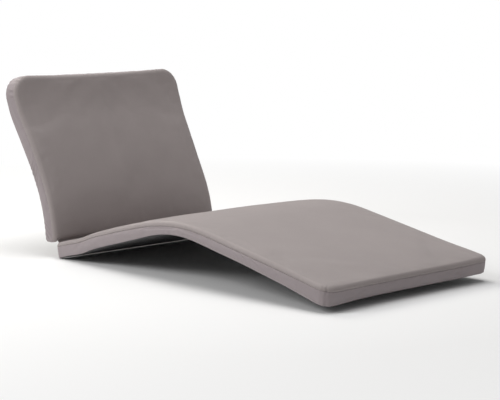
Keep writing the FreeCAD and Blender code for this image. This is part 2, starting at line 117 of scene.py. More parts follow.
def catmull(values, where, periodic=False, axis=0):
    """Catmull-Rom values at fractional indices along one axis."""
    values = np.moveaxis(values, axis, 0)
    count = len(values)
    index = np.floor(where).astype(int)
    frac = (where - index).reshape((-1,) + (1,) * (values.ndim - 1))

    def pick(step):
        i = index + step
        return values[i % count] if periodic else values[np.clip(i, 0, count - 1)]

    before, here, after, beyond = map(pick, (-1, 0, 1, 2))
    result = 0.5 * (
        2 * here + (after - before) * frac
        + (2 * before - 5 * here + 4 * after - beyond) * frac**2
        + (3 * here - before - 3 * after + beyond) * frac**3)
    return np.moveaxis(result, 0, axis)


# ------------------------------------------------------------------ the pads' centre lines
class Spine:
    """The line of a pad's top face in the XZ plane, from stations in mm and angles in degrees.

    side is +1 where the thickness lies to the right of the way it runs, -1 to the left.
    """

    def __init__(self, stations, angles, side, blur):
        stations = np.array(stations) * MM
        step, spare = 0.5 * MM, 0.12      # spare: the length added beyond both ends
        run = np.arange(-spare, stations[-1] + spare, step)
        angle = np.radians(np.interp(run, stations, angles))
        kernel = np.exp(-((np.arange(-60, 61) * step / blur) ** 2) / 2)
        kernel /= kernel.sum()
        angle = np.convolve(np.pad(angle, 60, mode="edge"), kernel, mode="valid")
        mid = (angle[1:] + angle[:-1]) / 2
        x = np.r_[0, np.cumsum(np.cos(mid)) * step]
        z = np.r_[0, np.cumsum(np.sin(mid)) * step]
        zero = int(round(spare / step))
        self.run, self.angle = run, angle
        self.x, self.z = x - x[zero] + FOLD[0], z - z[zero] + FOLD[1]
        self.side = side
        self.fold_angle = angles[0]

    def at(self, run, y, depth):
        """Points at a run along the face, y across and a depth below it."""
        run, y, depth = np.broadcast_arrays(run, y, depth)
        angle, x, z = (np.interp(run, self.run, v) for v in (self.angle, self.x, self.z))
        return np.stack([x + self.side * np.sin(angle) * depth, y,
                         z - self.side * np.cos(angle) * depth], -1)


SEAT = Spine([0, 14, 36, 327, 538, 903], [14.8, 14.8, 16.9, 12.9, -11.0, -11.5], 1, 10 * MM)
BACK = Spine([0, 125, 292, 418], [93, 115.3, 120.2, 100.0], -1, 14 * MM)


# ------------------------------------------------------------------ outline of a pad
class Outline:
    """Rounded rectangle in (run, y), with a near end at the fold and a far end.

    Ring positions count cells: along the -Y side, across the far end, back along +Y, and
    across the near end.
    """

    def __init__(self, end, near_radius, far_radius, along, across):
        self.end, self.near, self.far = end, near_radius, far_radius
        self.along, self.across = along, across
        self.count = 2 * (along + across)

    def sides(self, inset=0.0):
        """Length, radii at its start and end, start point, heading and cells of each side."""
        low, high, half = GAP + inset, self.end - inset, HALF - inset
        near, far = self.near, self.far
        rows = [
            (high - low, near, far, (low, -half), (1, 0), self.along),
            (2 * half, far, far, (high, -half), (0, 1), self.across),
            (high - low, far, near, (high, half), (-1, 0), self.along),
            (2 * half, near, near, (low, half), (0, -1), self.across),
        ]
        return [(*r[:3], np.array(r[3], float), np.array(r[4], float), r[5]) for r in rows]

    def at(self, pos):
        """Point, outward normal, length round the outline and distance to the nearest
        corner's middle, for each ring position."""
        pos = np.mod(np.asarray(pos, float), self.count)
        point, out = np.zeros(pos.shape + (2,)), np.zeros(pos.shape + (2,))
        girth, corner = np.zeros(pos.shape), np.zeros(pos.shape)
        first, girth_so_far = 0.0, 0.0
        for length, radius_a, radius_b, start, heading, cells in self.sides():
            share_a, share_b = (max(1.0, CORNER_SHARE / r) for r in (radius_a, radius_b))
            arc_a, arc_b = radius_a * math.pi / 4, radius_b * math.pi / 4
            straight = length - radius_a - radius_b
            part_a, part_b = arc_a * share_a, arc_b * share_b
            mask = (pos >= first) & (pos < first + cells)
            way = (pos[mask] - first) / cells * (part_a + straight + part_b)
            side_out = np.array([heading[1], -heading[0]])
            in_a, in_b = way < part_a, way > part_a + straight
            angle = np.zeros(len(way))
            angle[in_a] = -(math.pi / 4) * (1 - way[in_a] / part_a)
            angle[in_b] = (math.pi / 4) * ((way[in_b] - part_a - straight) / part_b)
            along = radius_a + (way - part_a)
            along[in_a] = radius_a
            along[in_b] = length - radius_b
            radius = np.where(in_a, radius_a, np.where(in_b, radius_b, 0.0))[:, None]
            centre = start + along[:, None] * heading - side_out * radius
            normal = np.cos(angle)[:, None] * side_out + np.sin(angle)[:, None] * heading
            point[mask], out[mask] = centre + radius * normal, normal
            done = np.where(in_b, arc_a + straight + (way - part_a - straight) / share_b,
                            arc_a + (way - part_a))
            done = np.where(in_a, way / share_a, done)
            full = arc_a + straight + arc_b
            girth[mask] = girth_so_far + done
            corner[mask] = np.minimum(done, full - done)
            first += cells
            girth_so_far += full
        return point, out, girth, corner

    def core(self, pos):
        """The point on the core rectangle's border that each ring position joins."""
        pos = np.mod(np.asarray(pos, float), self.count)
        point = np.zeros(pos.shape + (2,))
        first = 0
        for length, _, _, start, heading, cells in self.sides(CORE):
            mask = (pos >= first) & (pos < first + cells)
            step = length * (pos[mask] - first) / cells
            point[mask] = start + step[:, None] * heading
            first += cells
        return point


# ------------------------------------------------------------------ mesh assembly
class Builder:
    """Collects points and faces. Every point carries a UV in metres."""

    def __init__(self, mirror=False):
        self.points, self.uvs, self.faces, self.count = [], [], [], 0
        self.mirror = mirror

    def add(self, points, uv):
        """Adds an array of points and returns their indices in the same shape."""
        points = np.asarray(points, float)
        shape = points.shape[:-1]
        index = self.count + np.arange(math.prod(shape)).reshape(shape)
        self.points.append(points.reshape(-1, 3))
        self.uvs.append(np.asarray(uv).reshape(-1, 2))
        self.count += index.size
        return index

    def grid(self, index, flip=False, keep=None):
        """Quads over a grid of indices, or only over the cells that keep marks."""
        quads = np.stack([index[:-1, :-1], index[:-1, 1:], index[1:, 1:], index[1:, :-1]], -1)
        quads = quads.reshape(-1, 4) if keep is None else quads[keep]
        self.faces.extend((quads[:, ::-1] if flip else quads).tolist())

    def rings(self, inner, outer, flip=False):
        """Faces between two rings. outer has as many points as inner, or twice as many."""
        inner, outer = inner.tolist(), outer.tolist()
        count = len(inner)
        faces = []
        for i in range(count):
            j = (i + 1) % count
            a, b = inner[i], inner[j]
            if len(outer) == count:
                faces.append([a, b, outer[j], outer[i]])
            else:
                start, middle, end = outer[2 * i], outer[2 * i + 1], outer[2 * j]
                faces += [[a, middle, start], [a, b, middle], [b, end, middle]]
        self.faces.extend(faces if flip else [f[::-1] for f in faces])

    def object(self, name, material):
        uv = np.concatenate(self.uvs)
        mesh = bpy.data.meshes.new(name)
        faces = [f[::-1] for f in self.faces] if self.mirror else self.faces
        mesh.from_pydata(np.concatenate(self.points).tolist(), [], faces)
        layer = mesh.uv_layers.new(name="UVMap")
        corners = np.zeros(len(mesh.loops), np.int32)
        mesh.loops.foreach_get("vertex_index", corners)
        layer.data.foreach_set("uv", uv[corners].astype(np.float32).ravel())
        mesh.polygons.foreach_set("use_smooth", np.ones(len(mesh.polygons), bool))
        mesh.validate()
        mesh.update()
        obj = bpy.data.objects.new(name, mesh)
        bpy.context.scene.collection.objects.link(obj)
        if material is not None:
            mesh.materials.append(material)
        return obj


def face_outwards(obj):
    mesh = bmesh.new()
    mesh.from_mesh(obj.data)
    bmesh.ops.recalc_face_normals(mesh, faces=mesh.faces)
    mesh.to_mesh(obj.data)
    mesh.free()
    return obj


# ------------------------------------------------------------------ sections through a pad's edge
# Rows run from the top face outwards and down: inset and depth (mm in these tables), the
# normal's outward and upward parts, and a panel count: 0 to 1 across the top face, 1 to 2
# round the rim, 2 to 3 down the side strip and 3 to 4 back across the base.
TOP_HEM = [(0.18, 9.42, 0.97, -0.25, 1.96), (0.62, 9.78, 0.8, -0.6, 1.98),
           (1.5, 9.96, 0.5, -0.86, 2.0), (2.3, 10.0, 0.0, -1.0, 2.0)]
STRIP_UPPER_HEM = [(2.3, 10.02, 0.0, 1.0, 2.0), (1.5, 10.06, 0.5, 0.86, 2.0),
                   (0.66, 10.3, 0.8, 0.6, 2.01), (0.22, 10.75, 0.97, 0.25, 2.03)]
STRIP_DEPTHS = (11.6, 12.8, 14.2, 15.8, 17.4, 19.1, 20.6, 22.1, 23.6, 25.1, 26.6, 28.1,
                29.8, 31.4, 33.0, 34.4, 35.5)
STRIP_LOWER_HEM = [(0.25, 36.2, 0.97, -0.25, 2.96), (0.7, 36.65, 0.8, -0.6, 2.98),
                   (1.5, 36.9, 0.5, -0.86, 3.0), (2.3, 36.95, 0.0, -1.0, 3.0)]
BASE_HEM = [(2.3, 36.97, 0.0, 1.0, 3.0), (1.7, 37.0, 0.7, 0.5, 3.0),
            (1.35, 37.12, 1.0, 0.0, 3.01), (1.45, 37.35, 0.8, -0.6, 3.02),
            (2.0, 37.55, 0.35, -0.94, 3.03), (3.2, 37.6, 0.0, -1.0, 3.05)]


def in_metres(rows):
    return [(inset * MM, depth * MM, *rest) for inset, depth, *rest in rows]


def rim_row(degrees, panels):
    """A row on the rounded rim, which counts the given share of a panel in all."""
    angle = math.radians(degrees)
    sin, cos = math.sin(angle), math.cos(angle)
    return RIM * (1 - sin), RIM * (1 - cos), sin, cos, 1 + panels * degrees / 90


def strip_row(depth):
    part = (depth * MM - SEAM) / (THICK - SEAM)
    return 0.05 - 0.95 * math.sin(math.pi * part), depth, 1.0, 0.0, 2 + part


TOP_ROWS = [rim_row(f, 0.94) for f in np.linspace(0, 90, 9)] + in_metres(TOP_HEM)
STRIP_ROWS = in_metres(STRIP_UPPER_HEM + [strip_row(d) for d in STRIP_DEPTHS] + STRIP_LOWER_HEM)
BASE_ROWS = in_metres(BASE_HEM)
# the coarse rows used for the cloth simulation: inset, depth and panel count
SIM_ROWS = [(*rim_row(f, 1.0)[:2], 1 + f / 90) for f in (0, 30, 60, 90)]
SIM_ROWS += [(-0.6 * math.sin(math.pi * t) * MM, (10 + 26.6 * t) * MM, 2 + t)
             for t in (0.2, 0.4, 0.6, 0.8, 1.0)]


def border(grid):
    """Indices of a core grid's border, in ring order."""
    return np.concatenate([grid[:-1, 0], grid[-1, :-1], grid[:0:-1, -1], grid[0, :0:-1]])


class Pad:
    """run goes from the fold along the top face, y across it and depth down into the pad."""

    def __init__(self, spine, end, radii, cells, crown, far_pull, thick, wrinkle, waist, lift):
        self.spine, self.end, self.crown, self.far_pull = spine, end, crown, far_pull
        self.thick, self.wrinkle, self.waist, self.lift = thick, wrinkle, waist, lift
        self.mirror = spine.side < 0
        self.outline = Outline(end, *radii, *cells)
        self.count = self.outline.count
        self.edge_pos = np.arange(self.count * 4) / 4.0
        self.opening = [self.column_at(y) for y in (OPENING_HALF_LENGTH, -OPENING_HALF_LENGTH)]
        self.cloth = None

    def column_at(self, y):
        """Moves the nearest edge column of the end by the fold onto y; returns its number."""
        point = self.outline.at(self.edge_pos)[0]
        start = 2 * self.outline.along + self.outline.across
        columns = np.where(self.edge_pos >= start)[0]
        column = columns[np.argmin(abs(point[columns, 1] - y))]
        low, high = self.edge_pos[column] - 0.5, self.edge_pos[column] + 0.5
        for _ in range(40):
            mid = (low + high) / 2
            if self.outline.at(np.array([mid]))[0][0, 1] > y:
                low = mid
            else:
                high = mid
        self.edge_pos[column] = (low + high) / 2
        return column

    # ---- shape
    def rim_scale(self, point):
        """How much wider than RIM the edge of the top panel is rounded."""
        if self.mirror:
            return np.full(len(point), 1.32)
        low, high = [bump(np.hypot(point[:, 0] - self.end, point[:, 1] - y), 48 * MM)
                     for y in (-HALF, HALF)]
        return 1.0 + 0.40 * low + 0.30 * high

    def corner_in(self, point, depth):
        """The seat's -Y foot corner is rounder at its upper edge than at its lower edge."""
        if self.mirror:
            return np.zeros(len(point))
        away = np.hypot(point[:, 0] - self.end, point[:, 1] + HALF)
        return 5.0 * MM * bump(away, 20 * MM) * np.clip((37 * MM - depth) / (27 * MM), 0, 1)

    def top(self, run, y):
        """Depth of the crowned top face."""
        return -self.crown * (rise(HALF - np.abs(y) - RIM, 70 * MM)
                              * rise(run - GAP - RIM, 60 * MM)
                              * rise(self.end - run - RIM, 60 * MM))

    def settled(self, run, depth, y):
        """A nominal depth, after the thickness there."""
        below = (depth - SEAM) * (self.thick(run, y) - SEAM) / (THICK - SEAM)
        return np.where(depth > SEAM, SEAM + below, depth)

    def at(self, run, y, depth):
        """Points in space. The cover's pull draws the edges in between the corners."""
        shift = self.far_pull * smooth((np.abs(y) - 60 * MM) / (180 * MM))
        shift = shift * smooth((run - self.end + 150 * MM) / (150 * MM))
        # beside the fold the corners of both pads bulge towards each other
        bulge = smooth((np.abs(y) - 235 * MM) / (15 * MM)) * smooth((42 * MM - run) / (36 * MM))
        shift = shift - 6.0 * MM * bulge
        return self.spine.at(run + shift, y * (1 + self.waist(run) / HALF),
                             depth - self.lift(run, y))

    # ---- rows and faces: each returns points and UVs
    def ring(self, pos, row, offset=0.0, detail=1.0, uv_inset=0.0):
        inset, depth, outward, upward, panel = row
        point, out, girth, corner = self.outline.at(pos)
        inset, depth = np.full(len(pos), inset), np.full(len(pos), depth)
        if panel < 1.95:
            inset = inset * self.rim_scale(point)
        inset = inset + self.corner_in(point, depth)
        # the side strip lies flat round the zip's opening
        flat = (np.where(out[:, 0] < -0.9, 1.0, 0.0)
                * smooth((232 * MM - np.abs(point[:, 1])) / (14 * MM))
                * smooth((depth - 13 * MM) / (4 * MM)) * smooth((34.5 * MM - depth) / (4 * MM)))
        inset = inset * (1 - flat) + np.maximum(inset, 0.0) * flat
        run, y = (point - out * inset[:, None]).T
        push = detail * (1 - flat) * self.wrinkle(self, "edge", run, y, girth, corner, depth, out)
        run, y = (point + out * (-inset + (offset + push) * outward)[:, None]).T
        # where two panels are sewn together they can't part, so a pucker only moves in and out
        sewn = 1.955 <= panel <= 2.035 or panel >= 2.955
        depth = self.settled(run, depth, y) - (offset + (0.0 if sewn else push)) * upward
        return self.at(run, y, depth) + self.cloth_ring(pos, panel), point - out * uv_inset

    def face(self, run, y, base, offset, detail):
        push = offset + detail * self.wrinkle(self, "base" if base else "top", run, y)
        if base:
            depth = self.settled(run, np.full(run.shape, THICK), y) + push
        else:
            depth = self.top(run, y) - push
        return self.at(run, y, depth), np.stack([run, y], -1)

    def band(self, pos, part, base=False, offset=0.0, detail=1.0):
        """A row between the core's edge (part = 0) and the rim (part = 1)."""
        point, out, _, _ = self.outline.at(pos)
        if base:
            inset = np.full(len(point), BASE_FLAT)
        else:
            inset = RIM * self.rim_scale(point) + self.corner_in(point, 0.0)
        rim = point - out * inset[:, None]
        run, y = ((1 - part) * self.outline.core(pos) + part * rim).T
        points, uv = self.face(run, y, base, offset, detail)
        return points + self.cloth_ring(pos, 4 - part * 0.95 if base else part), uv

    def core_grid(self, fine=1):
        """run and y over the core rectangle, with the cell counts multiplied by fine."""
        along, across = (int(n * fine) + 1 for n in (self.outline.along, self.outline.across))
        return np.meshgrid(np.linspace(GAP + CORE, self.end - CORE, along),
                           np.linspace(-(HALF - CORE), HALF - CORE, across), indexing="ij")

    def core_face(self, fine, base=False, offset=0.0, detail=1.0):
        run, y = self.core_grid(fine)
        points, uv = self.face(run, y, base, offset, detail)
        return points + self.cloth_core(run.shape, base), uv

    # ---- the simulated cloth's movement, carried onto the finer meshes
    def cloth_ring(self, pos, panel):
        if self.cloth is None:
            return 0.0
        panels, moves = self.cloth["panels"], self.cloth["rings"]
        i = int(np.searchsorted(panels, panel)) - 1
        part = (panel - panels[i]) / (panels[i + 1] - panels[i])
        row = moves[i] * (1 - part) + moves[i + 1] * part
        return catmull(row, np.asarray(pos, float), periodic=True)

    def cloth_core(self, shape, base):
        if self.cloth is None:
            return 0.0
        rows = catmull(self.cloth["base" if base else "top"],
                       np.linspace(0, self.outline.along, shape[0]))
        return catmull(rows, np.linspace(0, self.outline.across, shape[1]), axis=1)

    # ---- pieces
    def panel(self, name, material, base=False):
        """The top or the base panel: a closed sheet with its edge tucked into the seam."""
        build = Builder(self.mirror)
        rows = BASE_ROWS[::-1] if base else TOP_ROWS      # from the flat part outwards
        for layer, offset in ((0, 0.0), (1, -TOP_CLOTH)):
            fine = 1 if layer else 2
            flip = bool(layer) != base
            grid = build.add(*self.core_face(fine, base, offset))
            build.grid(grid, flip=not flip)
            last = border(grid)

            def join(row):
                nonlocal last
                index = build.add(*row)
                build.rings(last, index, flip=flip)
                last = index

            pos = np.arange(self.count * fine) / fine
            for part in np.linspace(0, 1, 8 if layer else 14)[1:-1]:
                join(self.band(pos, part, base, offset))
            if layer:
                join(self.band(np.arange(self.count * 2) / 2, 0.96, base, offset))
                # every other row, but always the last
                rows = rows[::2] + ([rows[-1]] if len(rows) % 2 == 0 else [])
            uv_inset = rows[0][0]
            before = rows[0][:2]
            for row in rows:
                uv_inset -= math.hypot(row[0] - before[0], row[1] - before[1])
                before = row[:2]
                join(self.ring(self.edge_pos, row, offset, uv_inset=uv_inset))
            if layer:
                build.rings(outer, last, flip=base)
            outer = last
        return build.object(name, material)

    def side(self, name, material):
        """The side strip, with the zip's opening in the end beside the fold."""
        build = Builder(self.mirror)
        girth = self.outline.at(self.edge_pos)[2]
        low, high = [min(range(len(STRIP_ROWS)), key=lambda i: abs(STRIP_ROWS[i][1] - depth))
                     for depth in (ZIP_DEPTH - OPENING_HALF_HEIGHT,
                                   ZIP_DEPTH + OPENING_HALF_HEIGHT)]
        first, last = self.opening
        layers = []
        for offset in (0.0, -SIDE_CLOTH):
            index = np.array([
                build.add(self.ring(self.edge_pos, row, offset)[0],
                          np.stack([girth, np.full(len(girth), row[1])], -1))
                for row in STRIP_ROWS])
            layers.append(np.concatenate([index, index[:, :1]], 1))
        outer, inner = layers
        keep = np.ones((len(STRIP_ROWS) - 1, len(girth)), bool)
        keep[low:high, first:last] = False
        build.grid(outer, flip=True, keep=keep)
        build.grid(inner, keep=keep)
        # the cut edges: the strip's two long edges, then the opening's four sides
        columns, rows = slice(first, last + 1), slice(low, high + 1)
        for cut, flip in ((np.s_[0, :], False), (np.s_[-1, :], True),
                          (np.s_[low, columns], True), (np.s_[high, columns], False),
                          (np.s_[rows, first], False), (np.s_[rows, last], True)):
            build.grid(np.stack([outer[cut], inner[cut]]), flip=flip)
        return build.object(name, material)

    def slab(self, name, material, upper, lower):
        """A closed foam slab between two depths, a little inside the cover."""
        build = Builder(self.mirror)
        edge_inset, rounding = 3.6 * MM, 2.5 * MM
        crowned = upper < 5 * MM
        pos = np.arange(self.count)
        point, out, _, _ = self.outline.at(pos)
        # the foam stays back from the zip's end face
        back_off = np.where(out[:, 0] < -0.5, 1.2 * MM, 0.0)

        def add(run, y, level, below=0.0):
            if crowned and level == upper:
                depth = self.top(run, y) + level
            else:
                depth = self.settled(run, np.full(run.shape, level), y)
            return build.add(self.at(run, y, depth + below), np.stack([run, y], -1))

        def flat(level, flip):
            grid = add(*self.core_grid(), level)
            build.grid(grid, flip=not flip)
            last = border(grid)
            rim = point - out * (edge_inset + back_off + rounding * 2)[:, None]
            for part in (0.25, 0.5, 0.75):
                row = add(*((1 - part) * self.outline.core(pos) + part * rim).T, level)
                build.rings(last, row, flip=flip)
                last = row
            return last

        last = flat(upper, False)
        for level, radius, way, angles in (
                (upper, 7 * MM if crowned else rounding, 1, (0, 30, 60, 90)),
                (lower, rounding, -1, (90, 60, 30, 0))):
            for angle in map(math.radians, angles):
                below = way * radius * (1 - math.cos(angle))
                inset = radius * (1 - math.sin(angle)) + edge_inset + back_off
                inset = inset + self.corner_in(point, level + below)
                row = add(*(point - out * inset[:, None]).T, level, below)
                build.rings(last, row)
                last = row
        build.rings(flat(lower, True), last, flip=True)
        return build.object(name, material)


# ------------------------------------------------------------------ how the covers crease
ROLL = Waves(11, 90 * MM, 230 * MM)
FINE = Waves(12, 22 * MM, 60 * MM, 18)
PUCKER = Waves(13, 12 * MM, 30 * MM, 16, 1)
TIGHT = Waves(14, 8 * MM, 15 * MM, 12, 1)
SLOW = Waves(15, 60 * MM, 180 * MM, 10, 1)
MOD = Waves(16, 40 * MM, 110 * MM, 10, 1)

# Short folds on a side strip, each with a groove beside it, in mm and degrees:
# centre run, centre depth, slope, half length, half width, height.
SEAT_CREASES = [
    (640, 15, 18, 16, 3, 1.1), (663, 13, 16, 12, 2.6, 0.9), (700, 14, 14, 20, 3, 1.0),
    (770, 15, 10, 18, 3.2, 1.0), (560, 27, -12, 22, 4, 0.8), (120, 24, 8, 40, 4, 0.8),
    (250, 18, 6, 36, 4, 0.6)]
BACK_CREASES = [
    (214, 22, -46, 9, 2.2, 1.6), (206, 23, -44, 11, 2.3, 2.1), (193, 26, -42, 13, 2.4, 2.3),
    (178, 24, -40, 12, 2.4, 2.1), (163, 27, -38, 10, 2.4, 1.7), (150, 25, -36, 9, 2.4, 1.1),
    (52, 25, 36, 10, 2.6, 1.2), (40, 26, 38, 11, 2.6, 2.0), (27, 24, 40, 13, 2.6, 2.4),
    (15, 27, 44, 10, 2.4, 1.8), (320, 20, 6, 34, 3.4, 0.8), (372, 16, 70, 7, 2.2, 1.2),
    (384, 16, 74, 7, 2.2, 1.2)]
# the back's +Y side: every other fold, moved along, sloped the other way and lower
BACK_FAR_CREASES = [(run + 21, depth, -slope, length, width, height * 0.8)
                    for run, depth, slope, length, width, height in BACK_CREASES[::2]]


def creases(run, depth, lines, mask):
    total = np.zeros(run.shape)
    for line_run, line_depth, slope, length, width, height in lines:
        ahead, below = run - line_run * MM, depth - line_depth * MM
        cos, sin = math.cos(math.radians(slope)), math.sin(math.radians(slope))
        along, across = ahead * cos + below * sin, -ahead * sin + below * cos
        groove = bump(across - 1.7 * width * MM, width * MM * 1.1)
        total += height * MM * bump(along, length * MM) * (bump(across, width * MM) - 0.55 * groove)
    return total * mask


def face_wrinkle(pad, base, run, y, seed):
    """Slow rolls over a panel and finer ones near its edge; the base has them weaker."""
    edge = np.minimum(HALF - np.abs(y), np.minimum(run - GAP, pad.end - run))
    push = 0.28 * MM * ROLL(run + seed, y) * rise(edge - RIM, 25 * MM)
    push = push + 0.16 * MM * FINE(run, y + seed) * bump(edge - 26 * MM, 26 * MM)
    return push * (0.35 if base else 1.0)


def edge_wrinkle(pad, run, girth, corner, depth, seed):
    """Puckers along both seams, tighter ones at the corners and slow waves between."""
    radius = np.where(run < pad.end / 2, pad.outline.near, pad.outline.far)
    at_corner = bump(corner, 0.62 * radius)
    upper = np.exp(-np.abs(depth - SEAM) / (7.0 * MM))
    lower = np.exp(-np.abs(depth - 37 * MM) / (8.0 * MM))
    gate = 0.5 + 0.5 * np.tanh(1.6 * MOD(girth))
    rim_fade = np.where(depth < SEAM * 0.55, 0.35, 1.0)
    push = upper * (0.10 + 0.16 * gate) * MM * PUCKER(girth) * rim_fade
    push = push + at_corner * upper * 0.34 * MM * TIGHT(girth + seed)
    push = push + at_corner * lower * 0.40 * MM * TIGHT(girth * 0.9 + 1.7 + seed)
    push = push + lower * 0.16 * MM * gate * PUCKER(girth * 0.8 + 3.1)
    between = np.sin(math.pi * np.clip((depth - SEAM) / (27 * MM), 0, 1))
    return push + np.where(depth > SEAM, between, 0.0) * 0.22 * MM * SLOW(girth + seed)


def seat_wrinkle(pad, zone, run, y, girth=None, corner=None, depth=None, out=None):
    seed, knee = 0.3, 432 * MM
    if zone == "edge":
        push = edge_wrinkle(pad, run, girth, corner, depth, seed)
        side = (np.abs(out[:, 1]) > 0.9).astype(float)
        # the underside is pressed together at the knee, and the strip creases there
        low = smooth((depth - 16 * MM) / (20 * MM))
        ripple = 0.30 * MM * TIGHT(run * 0.7 + 0.9 * np.sign(y))
        push = push + bump(run - knee, 70 * MM) * side * low * ripple
        grooves = bump(run - 425 * MM, 5 * MM) + 0.7 * bump(run - 448 * MM, 6 * MM)
        push = push - 1.1 * MM * low * grooves * side
        return push + creases(run, depth, SEAT_CREASES, out[:, 1] < -0.9)
    # ripples across the knee: reach, height, wave length and unevenness
    if zone == "top":
        reach, height, length, uneven = 90 * MM, 0.10 * MM, 38 * MM, 1.5
    else:
        reach, height, length, uneven = 55 * MM, 0.8 * MM, 17 * MM, 1.2
    ripple = np.sin(TURN * run / length + uneven * ROLL(run, y))
    return (face_wrinkle(pad, zone == "base", run, y, seed)
            + bump(run - knee, reach) * height * ripple)


def back_wrinkle(pad, zone, run, y, girth=None, corner=None, depth=None, out=None):
    seed = 1.9
    if zone != "edge":
        return face_wrinkle(pad, zone == "base", run, y, seed)
    push = edge_wrinkle(pad, run, girth, corner, depth, seed)
    push = push + creases(run, depth, BACK_CREASES, out[:, 1] < -0.9)
    return push + creases(run, depth, BACK_FAR_CREASES, out[:, 1] > 0.9)


# ------------------------------------------------------------------ the two pads
def seat_thick(run, y):
    """Thinner at the knee and beyond it, thicker at the -Y foot corner."""
    pressed = 0.19 * bump(run - 430 * MM, 110 * MM)
    thick = THICK * (0.985 - pressed - 0.10 * bump(run - 640 * MM, 110 * MM))
    foot = smooth((run - 770 * MM) / (130 * MM)) * smooth((-y - 130 * MM) / (120 * MM))
    return thick + 3.4 * MM * foot


BACK_THICK = table([0, 150, 200, 240, 275, 330, 420],
                   [0.985, 0.985, 1.02, 1.07, 1.10, 1.12, 1.12])      # share of THICK
# how far the sides stand out from the nominal width, in mm
SEAT_WAIST = table([0, 120, 300, 560, 780, 903], [0.5, -0.8, -1.5, -1.5, -0.8, 2.5])
BACK_WAIST = table([0, 60, 120, 175, 235, 290, 335, 372, 420],
                   [0.0, -1.2, -3.2, -4.3, -3.2, -1.2, 3.0, 4.0, 4.0])


def seat_lift(run, y):
    """Out of the face: the -Y foot corner hangs, the +Y one is raised, and the -Y side
    dips near the fold."""
    hang = smooth((run - 740 * MM) / (163 * MM)) * smooth((-y - 120 * MM) / (134 * MM))
    held = smooth((run - 760 * MM) / (143 * MM)) * smooth((y - 120 * MM) / (134 * MM))
    dip = bump(run - 88 * MM, 36 * MM) * smooth((-y - 170 * MM) / (84 * MM))
    return -0.8 * MM * hang + 2.2 * MM * held - 3.6 * MM * dip


# radii: corners at the fold, then at the far end; cells: along, then across
seat = Pad(SEAT, end=902 * MM, radii=(10.5 * MM, 24 * MM), cells=(128 // SCALE, 64 // SCALE),
           crown=3.4 * MM, far_pull=2.5 * MM, thick=seat_thick, wrinkle=seat_wrinkle,
           waist=lambda run: SEAT_WAIST(run) * MM, lift=seat_lift)
back = Pad(BACK, end=414.5 * MM, radii=(10.5 * MM, 46 * MM), cells=(58 // SCALE, 64 // SCALE),
           crown=3.2 * MM, far_pull=4.0 * MM, thick=lambda run, y: THICK * BACK_THICK(run),
           wrinkle=back_wrinkle, waist=lambda run: BACK_WAIST(run) * MM, lift=lambda run, y: 0.0)


# ------------------------------------------------------------------ the covers settle as cloth
LAST_FRAME = 18
FREE_HOLD = 0.14      # how firmly the free parts of the cover are held in place


def add_cloth(obj):
    """Slightly slack panels, tight stitched seams, and the foam pushing outwards."""
    modifier = obj.modifiers.new("cloth", "CLOTH")
    cloth = modifier.settings
    cloth.quality = 6
    cloth.mass = 0.18
    cloth.tension_stiffness = cloth.compression_stiffness = 22
    cloth.shear_stiffness = 9
    cloth.bending_stiffness = 0.9
    cloth.air_damping = 2.5
    cloth.vertex_group_mass = "hold"
    cloth.pin_stiffness = 1.0
    cloth.vertex_group_shrink = "tight"
    cloth.shrink_min, cloth.shrink_max = -0.016, 0.014
    cloth.use_pressure = True
    cloth.uniform_pressure_force = 0.5
    cloth.effector_weights.gravity = 0.0
    modifier.collision_settings.use_collision = False
    modifier.point_cache.frame_start, modifier.point_cache.frame_end = 1, LAST_FRAME


def read_vectors(vertices, field):
    values = np.zeros(len(vertices) * 3)
    vertices.foreach_get(field, values)
    return values.reshape(-1, 3)


